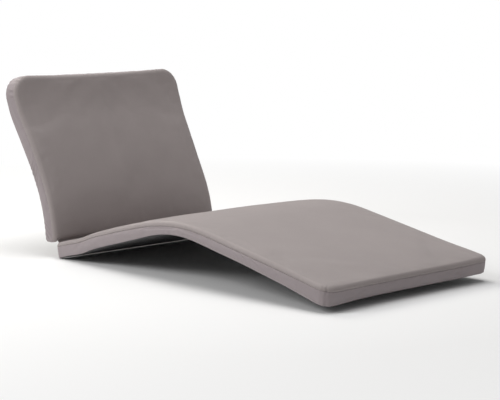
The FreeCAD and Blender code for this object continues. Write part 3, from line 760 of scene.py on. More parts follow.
def simulate(pad):
    """Runs a coarse closed cover as cloth and keeps the movement of its rows."""
    build = Builder(pad.mirror)
    pos = np.arange(0, pad.count, 2.0)
    plain = dict(offset=0.0, detail=0.0)
    top = build.add(*pad.core_face(0.5, **plain))
    build.grid(top, flip=True)
    last, panels, rings = border(top), [], []

    def join(row, panel):
        nonlocal last
        index = build.add(*row)
        build.rings(last, index)
        panels.append(panel)
        rings.append(index)
        last = index

    for part in (0.2, 0.4, 0.6, 0.8):
        join(pad.band(pos, part, **plain), part)
    for inset, depth, panel in SIM_ROWS:
        join(pad.ring(pos, (inset, depth, 1.0, 0.0, panel), **plain), panel)
    for part in (0.85, 0.6, 0.4, 0.2):
        join(pad.band(pos, part, base=True, **plain), 4 - 0.95 * part)
    base = build.add(*pad.core_face(0.5, base=True, **plain))
    build.rings(border(base), last, flip=True)
    build.grid(base)
    obj = build.object("cloth_work", None)
    rest = read_vectors(obj.data.vertices, "co")
    normal = read_vectors(obj.data.vertices, "normal")
    top_all, base_all = top.ravel(), base.ravel()
    up = rest[top_all].mean(0) - rest[base_all].mean(0)
    if float(np.sum(normal[top_all] @ up)) < 0:
        obj.data.flip_normals()
        normal = -normal

    hold = np.full(len(rest), FREE_HOLD)
    tight = np.full(len(rest), 0.5)
    hold[base_all] = 1.0
    out = pad.outline.at(pos)[1]
    for panel, row in zip(panels, rings):
        if panel >= 2.95:
            hold[row] = 1.0
        elif panel >= 1.6:
            hold[row] = np.where(out[:, 0] < -0.9, 1.0, FREE_HOLD)
        if panel in (2.0, 3.0):
            tight[row] = 1.0
            hold[row] = np.maximum(hold[row], 0.3)
    for name, weights in (("hold", hold), ("tight", tight)):
        group = obj.vertex_groups.new(name=name)
        for value in np.unique(weights):
            group.add(np.nonzero(weights == value)[0].tolist(), float(value), "REPLACE")
    add_cloth(obj)
    scene = bpy.context.scene
    for i in range(1, LAST_FRAME + 1):
        scene.frame_set(i)
    settled = obj.evaluated_get(bpy.context.evaluated_depsgraph_get())
    move = read_vectors(settled.data.vertices, "co") - rest
    scene.frame_set(1)
    bpy.data.objects.remove(obj, do_unlink=True)

    # the foam behind stops the cover from moving in, and keeps the middle of the panels flat
    along = np.sum(move * normal, 1)[:, None]
    slide = move - along * normal
    share = np.full((len(rest), 1), 0.2)
    for panel, row in zip(panels, rings):
        share[row] = 0.2 + 0.5 * min(panel, 1.0) ** 2
    along = along * share
    most_out, most_in = 1.9 * MM, 0.5 * MM
    along = np.where(along > 0, most_out * np.tanh(along / most_out),
                     most_in * np.tanh(along / most_in))
    move = along * normal + slide * share * 0.6

    def finer(grid):
        for axis in (0, 1):
            grid = catmull(grid, np.arange(0, grid.shape[axis] - 0.75, 0.5), axis=axis)
        return grid

    half_steps = np.arange(pad.count) / 2.0
    rows = [border(top), *rings, border(base)]
    pad.cloth = {
        "panels": np.array([0.0, *panels, 4.0]),
        "rings": np.array([catmull(move[row], half_steps, periodic=True) for row in rows]),
        "top": finer(move[top]),
        "base": finer(move[base]),
    }


simulate(seat)
simulate(back)


# ------------------------------------------------------------------ materials
def shade(colour, factor):
    return tuple(c * factor for c in colour)


class Nodes:
    """A material's node tree, with short ways to add and join its nodes."""

    def __init__(self, name):
        self.material = bpy.data.materials.new(name)
        self.material.use_nodes = True
        self.tree = self.material.node_tree
        self.shader = self.tree.nodes["Principled BSDF"]

    def new(self, kind, **props):
        node = self.tree.nodes.new(kind)
        for key, value in props.items():
            setattr(node, key, value)
        return node

    def feed(self, socket, value):
        """Links an output to the socket, or sets a number or an RGB colour on it."""
        if isinstance(value, (int, float)):
            socket.default_value = value
        elif isinstance(value, tuple):
            socket.default_value = value + (1.0,)
        else:
            self.tree.links.new(value, socket)

    def surface(self, values):
        """Feeds the Principled shader's inputs and returns the material."""
        for name, value in values.items():
            self.feed(self.shader.inputs[name], value)
        return self.material

    @cached_property
    def place(self):
        return self.new("ShaderNodeTexCoord").outputs["Object"]

    @cached_property
    def uv(self):
        return self.new("ShaderNodeUVMap", uv_map="UVMap").outputs[0]

    def u_v(self):
        split = self.new("ShaderNodeSeparateXYZ")
        self.feed(split.inputs[0], self.uv)
        return split.outputs[0], split.outputs[1]

    def pointiness(self):
        return self.new("ShaderNodeNewGeometry").outputs["Pointiness"]

    def math(self, operation, *values):
        node = self.new("ShaderNodeMath", operation=operation)
        for socket, value in zip(node.inputs, values):
            self.feed(socket, value)
        return node.outputs[0]

    def wave(self, coord, rate, shift=None):
        """Sine of coord * rate + shift."""
        angle = self.math("MULTIPLY", coord, rate)
        if shift is not None:
            angle = self.math("ADD", angle, shift)
        return self.math("SINE", angle)

    def noise(self, scale, detail=3.0, rough=0.5):
        node = self.new("ShaderNodeTexNoise")
        for name, value in (("Scale", scale), ("Detail", detail), ("Roughness", rough),
                            ("Vector", self.place)):
            self.feed(node.inputs[name], value)
        return node.outputs["Fac"]

    def ramp(self, value, stops):
        """Colours by position; there are always two stops."""
        node = self.new("ShaderNodeValToRGB")
        for element, (position, colour) in zip(node.color_ramp.elements, stops.items()):
            element.position = position
            element.color = colour + (1.0,)
        self.feed(node.inputs["Fac"], value)
        return node.outputs["Color"]

    def mix(self, amount, colour, other):
        node = self.new("ShaderNodeMix", data_type="RGBA", blend_type="MIX")
        self.feed(node.inputs["Factor"], amount)
        self.feed(node.inputs[6], colour)
        self.feed(node.inputs[7], other)
        return node.outputs[2]

    def bump(self, height, strength, distance, normal=None):
        node = self.new("ShaderNodeBump")
        self.feed(node.inputs["Strength"], strength)
        self.feed(node.inputs["Distance"], distance)
        self.feed(node.inputs["Height"], height)
        if normal is not None:
            self.feed(node.inputs["Normal"], normal)
        return node.outputs["Normal"]

    def remap(self, value, span, to):
        node = self.new("ShaderNodeMapRange")
        for socket, item in zip(node.inputs, (value, *span, *to)):
            self.feed(socket, item)
        return node.outputs["Result"]


def cover_fabric(name, base, painted_light_tint=(1.0, 1.0, 1.0)):
    """Smooth matte knit: fine interlocked rows, a faint nap and slightly uneven dye."""
    mat = Nodes(name)
    u, v = mat.u_v()
    row_rate = TURN / (0.9 * MM)
    rows = mat.wave(u, row_rate)
    loops = mat.wave(v, row_rate * 0.62, shift=mat.math("MULTIPLY", rows, 0.9))
    knit = mat.math("MULTIPLY", mat.math("ADD", rows, 1.0), mat.math("ADD", loops, 1.0))
    nap = mat.noise(scale=900.0, rough=0.6)
    dye = mat.noise(scale=9.0, rough=0.55)
    patch = mat.noise(scale=60.0, detail=4.0, rough=0.6)
    # painted light: the tint colours a copy of the fabric for the light that falls on its faces
    tinted = tuple(c * t for c, t in zip(base, painted_light_tint))
    colour = mat.ramp(dye, {0.3: shade(tinted, 0.965), 0.7: shade(tinted, 1.03)})
    colour = mat.mix(mat.remap(patch, span=(0.35, 0.7), to=(0.0, 0.06)), colour, shade(base, 1.25))
    # painted shade: darker in the hollows of the knit
    colour = mat.mix(mat.remap(knit, span=(0.0, 4.0), to=(0.16, 0.0)), colour, shade(base, 0.62))
    # painted highlight: paler where the cover bends sharply; painted shade: darker down in the
    # seams
    sharp = mat.pointiness()
    painted_edge_highlight = mat.remap(sharp, span=(0.505, 0.56), to=(0.0, 0.22))
    painted_seam_shade = mat.remap(sharp, span=(0.495, 0.44), to=(0.0, 0.55))
    colour = mat.mix(painted_edge_highlight, colour, shade(base, 1.5))
    colour = mat.mix(painted_seam_shade, colour, shade(base, 0.35))
    roughness = mat.remap(nap, span=(0.3, 0.7), to=(0.52, 0.66))
    normal = mat.bump(knit, strength=0.10, distance=0.05 * MM)
    normal = mat.bump(nap, strength=0.12, distance=0.10 * MM, normal=normal)
    normal = mat.bump(patch, strength=0.25, distance=0.6 * MM, normal=normal)
    return mat.surface({
        "Base Color": colour, "Roughness": roughness, "Specular IOR Level": 0.35,
        "Sheen Weight": 0.18, "Sheen Roughness": 0.45, "Sheen Tint": (0.9, 0.88, 0.9),
        "Normal": normal})


def dot_fabric(name, base):
    """Dark underside fabric with a close pattern of raised dots."""
    mat = Nodes(name)
    u, v = mat.u_v()
    cells = mat.new("ShaderNodeTexVoronoi", feature="F1", voronoi_dimensions="2D")
    mat.feed(cells.inputs["Scale"], 1 / (3.6 * MM))
    mat.feed(cells.inputs["Randomness"], 0.0)
    mat.feed(cells.inputs["Vector"], mat.uv)
    dots = mat.remap(cells.outputs["Distance"], span=(0.22, 0.34), to=(1.0, 0.0))
    thread_rate = TURN / (0.8 * MM)
    weave = mat.math("MULTIPLY", mat.wave(u, thread_rate), mat.wave(v, thread_rate))
    dust = mat.noise(scale=25.0, detail=4.0, rough=0.6)
    colour = mat.mix(mat.remap(dust, span=(0.35, 0.7), to=(0.0, 0.3)), base, shade(base, 1.6))
    colour = mat.mix(mat.math("MULTIPLY", dots, 0.7), colour, shade(base, 0.55))
    roughness = mat.remap(dots, span=(0.0, 1.0), to=(0.8, 0.45))
    normal = mat.bump(weave, strength=0.25, distance=0.08 * MM)
    normal = mat.bump(dots, strength=0.7, distance=0.5 * MM, normal=normal)
    return mat.surface({"Base Color": colour, "Roughness": roughness, "Normal": normal,
                        "Sheen Weight": 0.1})


def foam(name, base, cell):
    mat = Nodes(name)
    cells = mat.new("ShaderNodeTexVoronoi", feature="F1")
    mat.feed(cells.inputs["Scale"], 1 / cell)
    mat.feed(cells.inputs["Vector"], mat.place)
    distance = cells.outputs["Distance"]
    cloud = mat.noise(scale=14.0)
    # painted shade: the foam's pore hollows are darker
    colour = mat.ramp(distance, {0.1: shade(base, 0.72), 0.6: base})
    colour = mat.mix(mat.remap(cloud, span=(0.3, 0.7), to=(0.0, 0.25)), colour, shade(base, 0.9))
    return mat.surface({"Base Color": colour, "Roughness": 0.95,
                        "Normal": mat.bump(distance, strength=0.6, distance=0.5 * MM)})


GREY = (0.307, 0.267, 0.261)
COVER = cover_fabric("cover_fabric", GREY)
# painted light: the side strip's copy of the cover fabric is tinted cool for the cooler light that
# falls on the sides
SIDE_PAINTED_LIGHT = cover_fabric("cover_side_fabric_painted_cool_light", GREY, painted_light_tint=(1.0, 0.985, 1.04))
BASE = dot_fabric("base_fabric", (0.045, 0.043, 0.045))
MEMORY_FOAM = foam("memory_foam", (0.78, 0.70, 0.46), cell=0.9 * MM)
SUPPORT_FOAM = foam("support_foam", (0.62, 0.66, 0.70), cell=1.6 * MM)


# ------------------------------------------------------------------ the covers and foams
KNEE_START, KNEE_END = [tuple(Vector(SEAT.at(np.array([run]), 0.0, MID_DEPTH)[0]))
                        for run in KNEE]


def make_pad(pad, name, top, bodies):
    def place(obj, slot, node):
        if pad is seat:
            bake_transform(obj)
            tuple(KNEE_START)
            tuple(KNEE_END)
        else:
            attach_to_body(obj, "back")
        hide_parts(*[f"{body}_{node}" for body in bodies])

    place(pad.panel(f"{name}_cover_{top}_panel", COVER), "cover_fabric", f"cover_{top}")
    place(pad.side(name + "_cover_side_strip", SIDE_PAINTED_LIGHT), "cover_fabric", "cover_boxing")
    place(pad.panel(name + "_cover_base_panel", BASE, base=True), "base_fabric", "cover_base")
    place(pad.slab(name + "_memory_foam_slab", MEMORY_FOAM, FOAM_TOP, FOAM_SPLIT[0]),
          "memory_foam", "memory_foam")
    place(pad.slab(name + "_support_foam_slab", SUPPORT_FOAM, FOAM_SPLIT[1], FOAM_BOTTOM),
          "support_foam", "support_foam")


make_pad(seat, "seat", "top", ("seat", "knee", "leg"))
make_pad(back, "back", "front", ("back",))


def fold_strip():
    """A double fold of cover fabric from seam to seam, hanging a little into the gap."""
    build = Builder()
    # both ends are tucked into the seams
    seat_end, back_end = [
        spine.at(np.array([GAP + 1.6 * MM]), 0.0, SEAM - 0.02 * MM)[0][[0, 2]]
        for spine in (SEAT, BACK)]
    down = np.array([-0.62, -0.78])
    sag = (seat_end + back_end) / 2 + down * 7.0 * MM
    part = np.linspace(0, 1, 25)
    across = np.linspace(-239 * MM, 239 * MM, 181)
    curve = (((1 - part) ** 2)[:, None] * seat_end + (2 * part * (1 - part))[:, None] * sag
             + (part**2)[:, None] * back_end)
    tangent = np.gradient(curve, axis=0)
    tangent /= np.linalg.norm(tangent, axis=1)[:, None]
    normal = np.stack([tangent[:, 1], -tangent[:, 0]], -1)
    normal *= np.sign(normal @ down)[len(part) // 2]
    free = np.sin(math.pi * part)[:, None]
    y = np.broadcast_to(across, (len(part), len(across)))
    wave = (0.55 * MM * PUCKER(y * 0.55) + 0.45 * MM * SLOW(y)) * free
    wave = wave + 0.25 * MM * TIGHT(y * 0.8 + 2.0) * free
    arc = np.r_[0, np.cumsum(np.linalg.norm(np.diff(curve, axis=0), axis=1))]
    uv = np.stack([np.broadcast_to(arc[:, None], y.shape), y], -1)
    layers = []
    for offset in (0.0, 0.8 * MM):
        push = -offset + wave
        x, z = (curve[:, i][:, None] + normal[:, i][:, None] * push for i in (0, 1))
        layers.append(build.add(np.stack([x, y, z], -1), uv))
    outer, inner = layers
    build.grid(outer)
    build.grid(inner, flip=True)
    for edge, flip in ((np.s_[0], False), (np.s_[-1], True),
                       (np.s_[:, 0], True), (np.s_[:, -1], False)):
        build.grid(np.stack([outer[edge], inner[edge]]), flip=flip)
    obj = face_outwards(build.object("fold_strip_fabric", COVER))
    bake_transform(obj)
    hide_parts("fold_hinge_strip")


fold_strip()


# ------------------------------------------------------------------ zip geometry, in mm
class ZipFrame:
    """Axes on an end face: x out of it, y along the zip, z towards the top face."""

    def __init__(self, spine):
        angle, side = math.radians(spine.fold_angle), spine.side
        cos, sin = math.cos(angle), math.sin(angle)
        self.origin = np.array([FOLD[0] + GAP * cos + side * ZIP_DEPTH * sin, 0.0,
                                FOLD[1] + GAP * sin - side * ZIP_DEPTH * cos])
        self.x = np.array([-cos, 0, -sin])
        self.z = np.array([-side * sin, 0, side * cos])
        self.y = np.cross(self.z, self.x)

    def __call__(self, points):
        x, y, z = np.split(np.asarray(points, float) * MM, 3, axis=-1)
        return self.origin + x * self.x + y * self.y + z * self.z


class Soup:
    """Joins many small closed shapes into one mesh."""

    def __init__(self):
        self.points, self.faces, self.count = [], [], 0

    def add(self, points, faces):
        self.points.append(np.asarray(points, float))
        self.faces += [[i + self.count for i in face] for face in faces]
        self.count += len(points)

    def object(self, name, material, zip_frame):
        points = np.concatenate(self.points)
        build = Builder()
        build.add(zip_frame(points), points[:, [1, 2]] * MM)
        build.faces = self.faces
        return face_outwards(build.object(name, material))


def loft(rings, caps=True):
    """Points and faces through a list of rings with equally many points."""
    points = [p for ring in rings for p in ring]
    count, last = len(rings[0]), (len(rings) - 1) * len(rings[0])
    faces = [[i + j, i + (j + 1) % count, i + count + (j + 1) % count, i + count + j]
             for i in range(0, last, count) for j in range(count)]
    if caps:
        faces += [list(range(count))[::-1], list(range(last, last + count))]
    return points, faces


def circle(sides):
    return [(math.cos(a), math.sin(a)) for a in np.linspace(0, TURN, sides, endpoint=False)]


def sweep(path, section):
    """A section carried along a path of (point, first axis, second axis)."""
    return loft([[point + a * first + b * second for a, b in section]
                 for point, first, second in path])


def plate(outline, x0, x1, bevel=0.25, hole=None):
    """A flat piece with rounded edges: outline in (y, z), thickness from x0 to x1.
    hole is (y, z, radius)."""
    outline = np.asarray(outline, float)
    count = len(outline)
    after, before = np.roll(outline, -1, 0), np.roll(outline, 1, 0)
    tangent = after - before
    tangent /= np.linalg.norm(tangent, axis=1)[:, None]
    area = 0.5 * np.sum(outline[:, 0] * after[:, 1] - after[:, 0] * outline[:, 1])
    normal = np.stack([tangent[:, 1], -tangent[:, 0]], -1) * (1 if area > 0 else -1)
    rings = []
    for face_x, way, angles in ((x0, 1, (0, 30, 60, 90)), (x1, -1, (90, 60, 30, 0))):
        for angle in map(math.radians, angles):
            x = face_x + way * bevel * (1 - math.cos(angle))
            rings.append([(x, *p) for p in outline - normal * bevel * (1 - math.sin(angle))])
    points, faces = loft(rings, caps=hole is None)
    if hole is None:
        return points, faces
    hole_y, hole_z, radius = hole
    angles = np.arctan2(outline[:, 1] - hole_z, outline[:, 0] - hole_y)
    base, last = len(points), (len(rings) - 1) * count
    chamfer = 0.15
    for x, wider in ((x0, chamfer), (x0 + chamfer, 0.0), (x1 - chamfer, 0.0), (x1, chamfer)):
        points += [(x, hole_y + (radius + wider) * math.cos(a),
                    hole_z + (radius + wider) * math.sin(a)) for a in angles]
    for i in range(base, base + 3 * count, count):
        for j in range(count):
            k = (j + 1) % count
            faces.append([i + j, i + count + j, i + count + k, i + k])
    for j in range(count):
        k = (j + 1) % count
        rim = base + 3 * count
        faces.append([j, base + j, base + k, k])
        faces.append([last + j, last + k, rim + k, rim + j])
    return points, faces


def rounded(points, radius, steps=5):
    """A closed outline with its corners rounded."""
    result = []
    for i in range(len(points)):
        corner, before, after = (np.array(points[j % len(points)], float)
                                 for j in (i, i - 1, i + 1))
        to_before, to_after = before - corner, after - corner
        length_before, length_after = np.linalg.norm(to_before), np.linalg.norm(to_after)
        to_before, to_after = to_before / length_before, to_after / length_after
        half = math.acos(float(to_before @ to_after)) / 2
        cut = min(radius / math.tan(half), length_before * 0.45, length_after * 0.45)
        start, end = corner + to_before * cut, corner + to_after * cut
        for t in np.linspace(0, 1, steps):
            result.append((1 - t) ** 2 * start + 2 * t * (1 - t) * corner + t * t * end)
    return result


def block(y_span, z_span, x_span, radius, bevel):
    """A rectangular plate."""
    (y0, y1), (z0, z1) = y_span, z_span
    return plate(rounded([(y0, z0), (y1, z0), (y1, z1), (y0, z1)], radius), *x_span, bevel)


def pin(start, end, radius, bevel=0.12):
    start, end = np.array(start, float), np.array(end, float)
    axis = (end - start) / np.linalg.norm(end - start)
    first = np.cross(axis, [0.3, 0.9, 0.1])
    first /= np.linalg.norm(first)
    second = np.cross(axis, first)
    path = [(point, first * r, second * r) for point, r in (
        (start, radius - bevel), (start + axis * bevel, radius),
        (end - axis * bevel, radius), (end, radius - bevel))]
    return sweep(path, circle(16))


def stitches(name, zip_frame, runs, length=2.7, gap=0.9, thick=0.34):
    """Thread along straight runs: short arched strands that dip in at their ends."""
    soup = Soup()
    for start, end in runs:
        start, end = np.array(start, float), np.array(end, float)
        total = np.linalg.norm(end - start)
        heading = (end - start) / total
        count = int(total / (length + gap))
        side = np.cross(heading, [1, 0, 0])
        for i in range(count):
            centre = start + heading * ((i + 0.5) * total / count)
            path = []
            for t in np.linspace(-1, 1, 7):
                lift = 0.16 * (1 - t**4) - 0.22 * t**8
                radius = thick / 2 * (1 - 0.45 * t**6)
                path.append((centre + heading * t * length / 2 + np.array([lift, 0, 0]),
                             side * radius, np.array([radius, 0, 0])))
            soup.add(*sweep(path, circle(6)))
    return soup.object(name, THREAD, zip_frame)


# tape section from the coil outwards, with a thicker outer edge: z, outer x, inner x
TAPE_SECTION = [
    (0.8, -1.05, -1.35), (1.0, -0.96, -1.44), (1.6, -0.95, -1.45), (2.6, -0.97, -1.42),
    (4.4, -0.97, -1.42), (6.4, -0.97, -1.42), (8.4, -0.97, -1.42), (9.6, -0.98, -1.42),
    (10.1, -1.02, -1.4), (10.2, -1.12, -1.3)]
TAPE_HALF = 212.0
COIL_HALF = 204.0
STOP_LENGTH, STOP_GAP = 4, 1.0      # the gap is from the coil's end to the stop
SLIDER_Y = -203.5      # the slider's end nearest the -Y stop
PIN_X, PIN_Y = 2.49, SLIDER_Y + 4.2


def zip_tapes(name, zip_frame):
    soup = Soup()
    section = [(x, z) for z, x, _ in TAPE_SECTION] + [(x, z) for z, _, x in TAPE_SECTION[::-1]]
    for sign in (1, -1):
        rings = []
        for y in np.linspace(-TAPE_HALF, TAPE_HALF, 213):
            ripple = 0.012 * math.sin(y * 1.9 + sign) + 0.008 * math.sin(y * 0.7)
            rings.append([(x + ripple, y, sign * z) for x, z in section])
        soup.add(*loft(rings))
    return soup.object(name, TAPE, zip_frame)


def zip_coil(name, zip_frame):
    """Two rows of nylon coil, each a flattened spiral with a cord through its middle."""
    soup = Soup()
    section = circle(5)
    steps, length = 8, 2 * COIL_HALF
    turns = int(length / 1.45)      # the whole turns of about 1.45 mm that fit
    centre_x, centre_z = -0.28, 1.40
    for sign in (1, -1):
        turn = np.arange(turns * steps + 1) / steps
        phase = TURN * (turn + (0.5 if sign < 0 else 0.0))
        # flattened at the tape, with a blunt head at the middle
        z = centre_z - 0.62 * np.cos(phase) - 0.10 * np.cos(2 * phase)
        x = centre_x + 0.38 * np.sin(phase)
        y = -COIL_HALF + turn * length / turns
        line = np.stack([x, y, sign * z], -1)
        tangent = np.gradient(line, axis=0)
        tangent /= np.linalg.norm(tangent, axis=1)[:, None]
        first = np.cross(tangent, [0, 1, 0.0])
        first /= np.linalg.norm(first, axis=1)[:, None]
        second = np.cross(tangent, first)
        radius = (0.25 + 0.05 * (np.cos(phase) > 0.55))[:, None]
        soup.add(*sweep(list(zip(line, first * radius, second * radius)), section))
        cord = [(np.array([centre_x + 0.02 * math.sin(y * 3), y, sign * centre_z]),
                 np.array([0.16, 0, 0]), np.array([0, 0, 0.34]))
                for y in np.linspace(-COIL_HALF, COIL_HALF, 120)]
        soup.add(*sweep(cord, section))
    return soup.object(name, COIL, zip_frame)


def zip_stops(name, zip_frame):
    """At each end of the coil, a block on each row and a bridge between them."""
    soup = Soup()
    inner_end = COIL_HALF + STOP_GAP
    for y in (-inner_end - STOP_LENGTH, inner_end):
        for sign in (1, -1):
            soup.add(*block((y, y + STOP_LENGTH), (0.5 * sign, 2.4 * sign), (-0.9, 0.35),
                            radius=0.35, bevel=0.28))
        soup.add(*block((y + 0.4, y + STOP_LENGTH - 0.4), (-0.9, 0.9), (-0.75, 0.1),
                        radius=0.3, bevel=0.2))
    return soup.object(name, METAL, zip_frame)


def from_slider(points):
    return [(SLIDER_Y + y, z) for y, z in points]


def mirrored(points):
    """A closed outline from its -z half, in (y from the slider's end, z)."""
    return from_slider(points + [(y, -z) for y, z in points[::-1]])


def zip_slider(name, zip_frame):
    """Two shaped plates with flanges, the post between them and the pull's two ears."""
    soup = Soup()
    shape = mirrored([(0.0, -1.9), (0.9, -3.0), (4.6, -3.6), (8.2, -3.35), (9.0, -2.2)])
    shape = rounded(shape, 0.9, steps=4)
    soup.add(*plate(shape, 0.49, 1.39, bevel=0.3))
    soup.add(*plate(shape, -2.47, -1.57, bevel=0.3))
    soup.add(*block((SLIDER_Y + 1.5, SLIDER_Y + 5.5), (-0.33, 0.33), (-1.7, 0.7),
                    radius=0.3, bevel=0.02))
    # ear outline in (x, y), from the middle of its foot
    ear = [(0.0, -1.6), (0.0, 1.6)]
    ear += [(1.853 * math.sin(a), 1.6125 * math.cos(a)) for a in np.linspace(0, math.pi, 13)]
    for sign, ear_z in ((1, 1.2), (-1, -2.2)):
        flange = [(1.2, 2.95), (7.8, 3.05), (7.8, 3.55), (4.6, 3.6), (1.2, 3.35)]
        flange = from_slider([(y, z * sign) for y, z in flange])
        soup.add(*plate(rounded(flange, 0.2), -0.25, 0.8, bevel=0.15))
        rings = []
        for z, size in ((0, 0.93), (0.12, 1.0), (1 - 0.12, 1.0), (1, 0.93)):
            rings.append([(1.3 + x * size, PIN_Y + y * size, ear_z + z) for x, y in ear])
        soup.add(*loft(rings))
    return soup.object(name, METAL, zip_frame)


def zip_pull(name, zip_frame):
    """A waisted tab with an eye, on a pin that turns between the ears."""
    soup = Soup()
    soup.add(*pin((PIN_X, PIN_Y, -2.15), (PIN_X, PIN_Y, 2.15), radius=0.66))
    shape = mirrored([(4.0, -0.85), (8.6, -0.9), (10.6, -2.1), (22.4, -2.5), (24.2, -1.6)])
    soup.add(*plate(rounded(shape, 1.0), 2.0, 2.98, bevel=0.3,
                    hole=(SLIDER_Y + 20.4, 0.0, 1.15)))
    # raised ribs across the tab
    for i in range(4):
        y = SLIDER_Y + 12.0 + 1.5 * i
        soup.add(*block((y, y + 0.6), (-1.35, 1.35), (2.85, 3.12), radius=0.25, bevel=0.1))
    return soup.object(name, METAL, zip_frame)


# ------------------------------------------------------------------ zip, thread and label materials
def tape_fabric(name, base):
    """Close herringbone weave."""
    mat = Nodes(name)
    u, v = mat.u_v()
    repeat = mat.math("FRACT", mat.math("MULTIPLY", v, 1 / (2.4 * MM)))
    zigzag = mat.math("ABSOLUTE", mat.math("SUBTRACT", repeat, 0.5))
    rib = mat.wave(u, TURN / (0.9 * MM), shift=mat.math("MULTIPLY", zigzag, 14.0))
    fine = mat.wave(v, TURN / (0.45 * MM))
    weave = mat.math("ADD", mat.math("MULTIPLY", rib, 0.7), mat.math("MULTIPLY", fine, 0.3))
    # painted shade and highlight: darker in the weave's hollows, lighter on its ridges
    colour = mat.mix(mat.remap(weave, span=(-1.0, 1.0), to=(0.0, 1.0)),
                     shade(base, 0.55), shade(base, 1.25))
    return mat.surface({"Base Color": colour, "Roughness": 0.7, "Sheen Weight": 0.15,
                        "Normal": mat.bump(weave, strength=0.5, distance=0.1 * MM)})


def nylon(name, base):
    mat = Nodes(name)
    grain = mat.noise(scale=700.0, detail=2.0)
    return mat.surface({
        "Base Color": mat.ramp(grain, {0.3: shade(base, 0.85), 0.7: shade(base, 1.15)}),
        "Roughness": mat.remap(grain, span=(0.3, 0.7), to=(0.28, 0.42)),
        "Normal": mat.bump(grain, strength=0.1, distance=0.03 * MM)})


def lacquered(name, base):
    """Grey lacquer on zinc, rubbed bright along the edges, with fine scratches."""
    mat = Nodes(name)
    sharp = mat.pointiness()
    grain = mat.noise(scale=420.0, detail=4.0, rough=0.6)
    scratch = mat.noise(scale=1500.0, detail=2.0, rough=0.7)
    worn = mat.math("ADD", mat.remap(sharp, span=(0.52, 0.6), to=(0.0, 1.0)),
                    mat.remap(grain, span=(0.62, 0.72), to=(0.0, 0.5)))
    worn = mat.math("MINIMUM", worn, 1.0)
    lacquer = mat.ramp(grain, {0.3: shade(base, 0.85), 0.7: base})
    return mat.surface({
        "Base Color": mat.mix(worn, lacquer, (0.56, 0.55, 0.54)),
        "Metallic": worn,
        "Roughness": mat.remap(scratch, span=(0.35, 0.65), to=(0.3, 0.48)),
        "Normal": mat.bump(grain, strength=0.12, distance=0.05 * MM)})


def thread(name, base):
    mat = Nodes(name)
    fibre = mat.noise(scale=2600.0, detail=2.0)
    return mat.surface({
        "Base Color": mat.ramp(fibre, {0.35: shade(base, 0.75), 0.65: base}),
        "Roughness": 0.55, "Sheen Weight": 0.2,
        "Normal": mat.bump(fibre, strength=0.4, distance=0.05 * MM)})


def satin(name, base):
    mat = Nodes(name)
    u, v = mat.u_v()
    lengthwise = mat.wave(v, TURN / (0.35 * MM))
    crosswise = mat.wave(u, TURN / (0.5 * MM))
    weave = mat.math("ADD", mat.math("MULTIPLY", lengthwise, 0.8),
                     mat.math("MULTIPLY", crosswise, 0.2))
    tone = mat.noise(scale=120.0)
    return mat.surface({
        "Base Color": mat.ramp(tone, {0.3: shade(base, 0.93), 0.7: base}),
        "Roughness": 0.4, "Sheen Weight": 0.3,
        "Normal": mat.bump(weave, strength=0.3, distance=0.05 * MM)})


TAPE = tape_fabric("zip_tape", (0.065, 0.060, 0.062))
COIL = nylon("zip_coil", (0.05, 0.048, 0.05))
METAL = lacquered("zip_metal", (0.11, 0.11, 0.115))
THREAD = thread("sewing_thread", (0.24, 0.22, 0.215))
LABEL = satin("label_fabric", (0.72, 0.72, 0.69))


# ------------------------------------------------------------------ the zips and the label
def attach(obj, body, node=None):
    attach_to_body(obj, body)
    if node:
        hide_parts(node)


def make_zip(kind, spine):
    zip_frame = ZipFrame(spine)
    zipper = kind + "_zip"
    slider, pull = zipper + "_slider", zipper + "_pull"
    attach(zip_tapes(zipper + "_tape_pair", zip_frame), kind, zipper + "_tapes")
    attach(zip_coil(zipper + "_coil_rows", zip_frame), kind, zipper + "_coil")
    attach(zip_stops(zipper + "_end_stops", zip_frame), kind, zipper + "_stops")
    attach(zip_slider(slider + "_body", zip_frame), slider, slider)
    attach(zip_pull(pull + "_tab", zip_frame), pull, pull)
    # a rectangle of stitches round the opening
    x, y, z = 0.12, 213, 6.4
    runs = [((x, -y, z), (x, y, z)), ((x, -y, -z), (x, y, -z)),
            ((x, -y, -z), (x, -y, z)), ((x, y, -z), (x, y, z))]
    attach(stitches(zipper + "_topstitch", zip_frame, runs), kind)


def care_label():
    """A blank label beside the seat's zip, sewn along one edge and curling away from it."""
    zip_frame = ZipFrame(SEAT)
    along = np.linspace(213.4, 230.4, 18)
    y, z = np.meshgrid(along, np.linspace(-8.0, 6.0, 15), indexing="ij")
    part = ((along - along[0]) / (along[-1] - along[0]))[:, None]
    lift = 0.55 + 0.9 * part**2 + 0.18 * np.sin(z * 0.5) * part
    build = Builder()
    outer, inner = [build.add(zip_frame(np.stack([lift + offset, y, z], -1)),
                              np.stack([y, z], -1) * MM) for offset in (0.0, -0.28)]
    build.grid(outer)
    build.grid(inner, flip=True)
    for edge in (np.s_[0], np.s_[-1], np.s_[:, 0], np.s_[:, -1]):
        build.grid(np.stack([outer[edge], inner[edge]]))
    obj = face_outwards(build.object("care_label_blank", LABEL))
    attach(obj, "seat", "care_label")
    run = ((0.72, 214.6, -7.2), (0.72, 214.6, 5.2))
    sewing = stitches("care_label_stitches", zip_frame, [run], length=1.8, gap=0.7, thick=0.3)
    attach(sewing, "seat")


make_zip("seat", SEAT)
make_zip("back", BACK)
care_label()

# ------------------------------------------------------------------ stage, light and camera
AMBIENT = 0.30
FLOOR_HALF, FLOOR_Z = 30.0, -0.0005
FLOOR_FADE = (0.9, 2.2)      # distances from the origin where the floor starts and ends fading


def white_to_camera(tree):
    """White where the camera sees it, and only a soft light for the object."""
    path = tree.nodes.new("ShaderNodeLightPath")
    mix = tree.nodes.new("ShaderNodeMix")
    mix.name = "ambient"
    mix.data_type = "FLOAT"
    tree.links.new(path.outputs["Is Camera Ray"], mix.inputs[0])
    mix.inputs[2].default_value = AMBIENT
    mix.inputs[3].default_value = 1.0
    return mix.outputs[0]


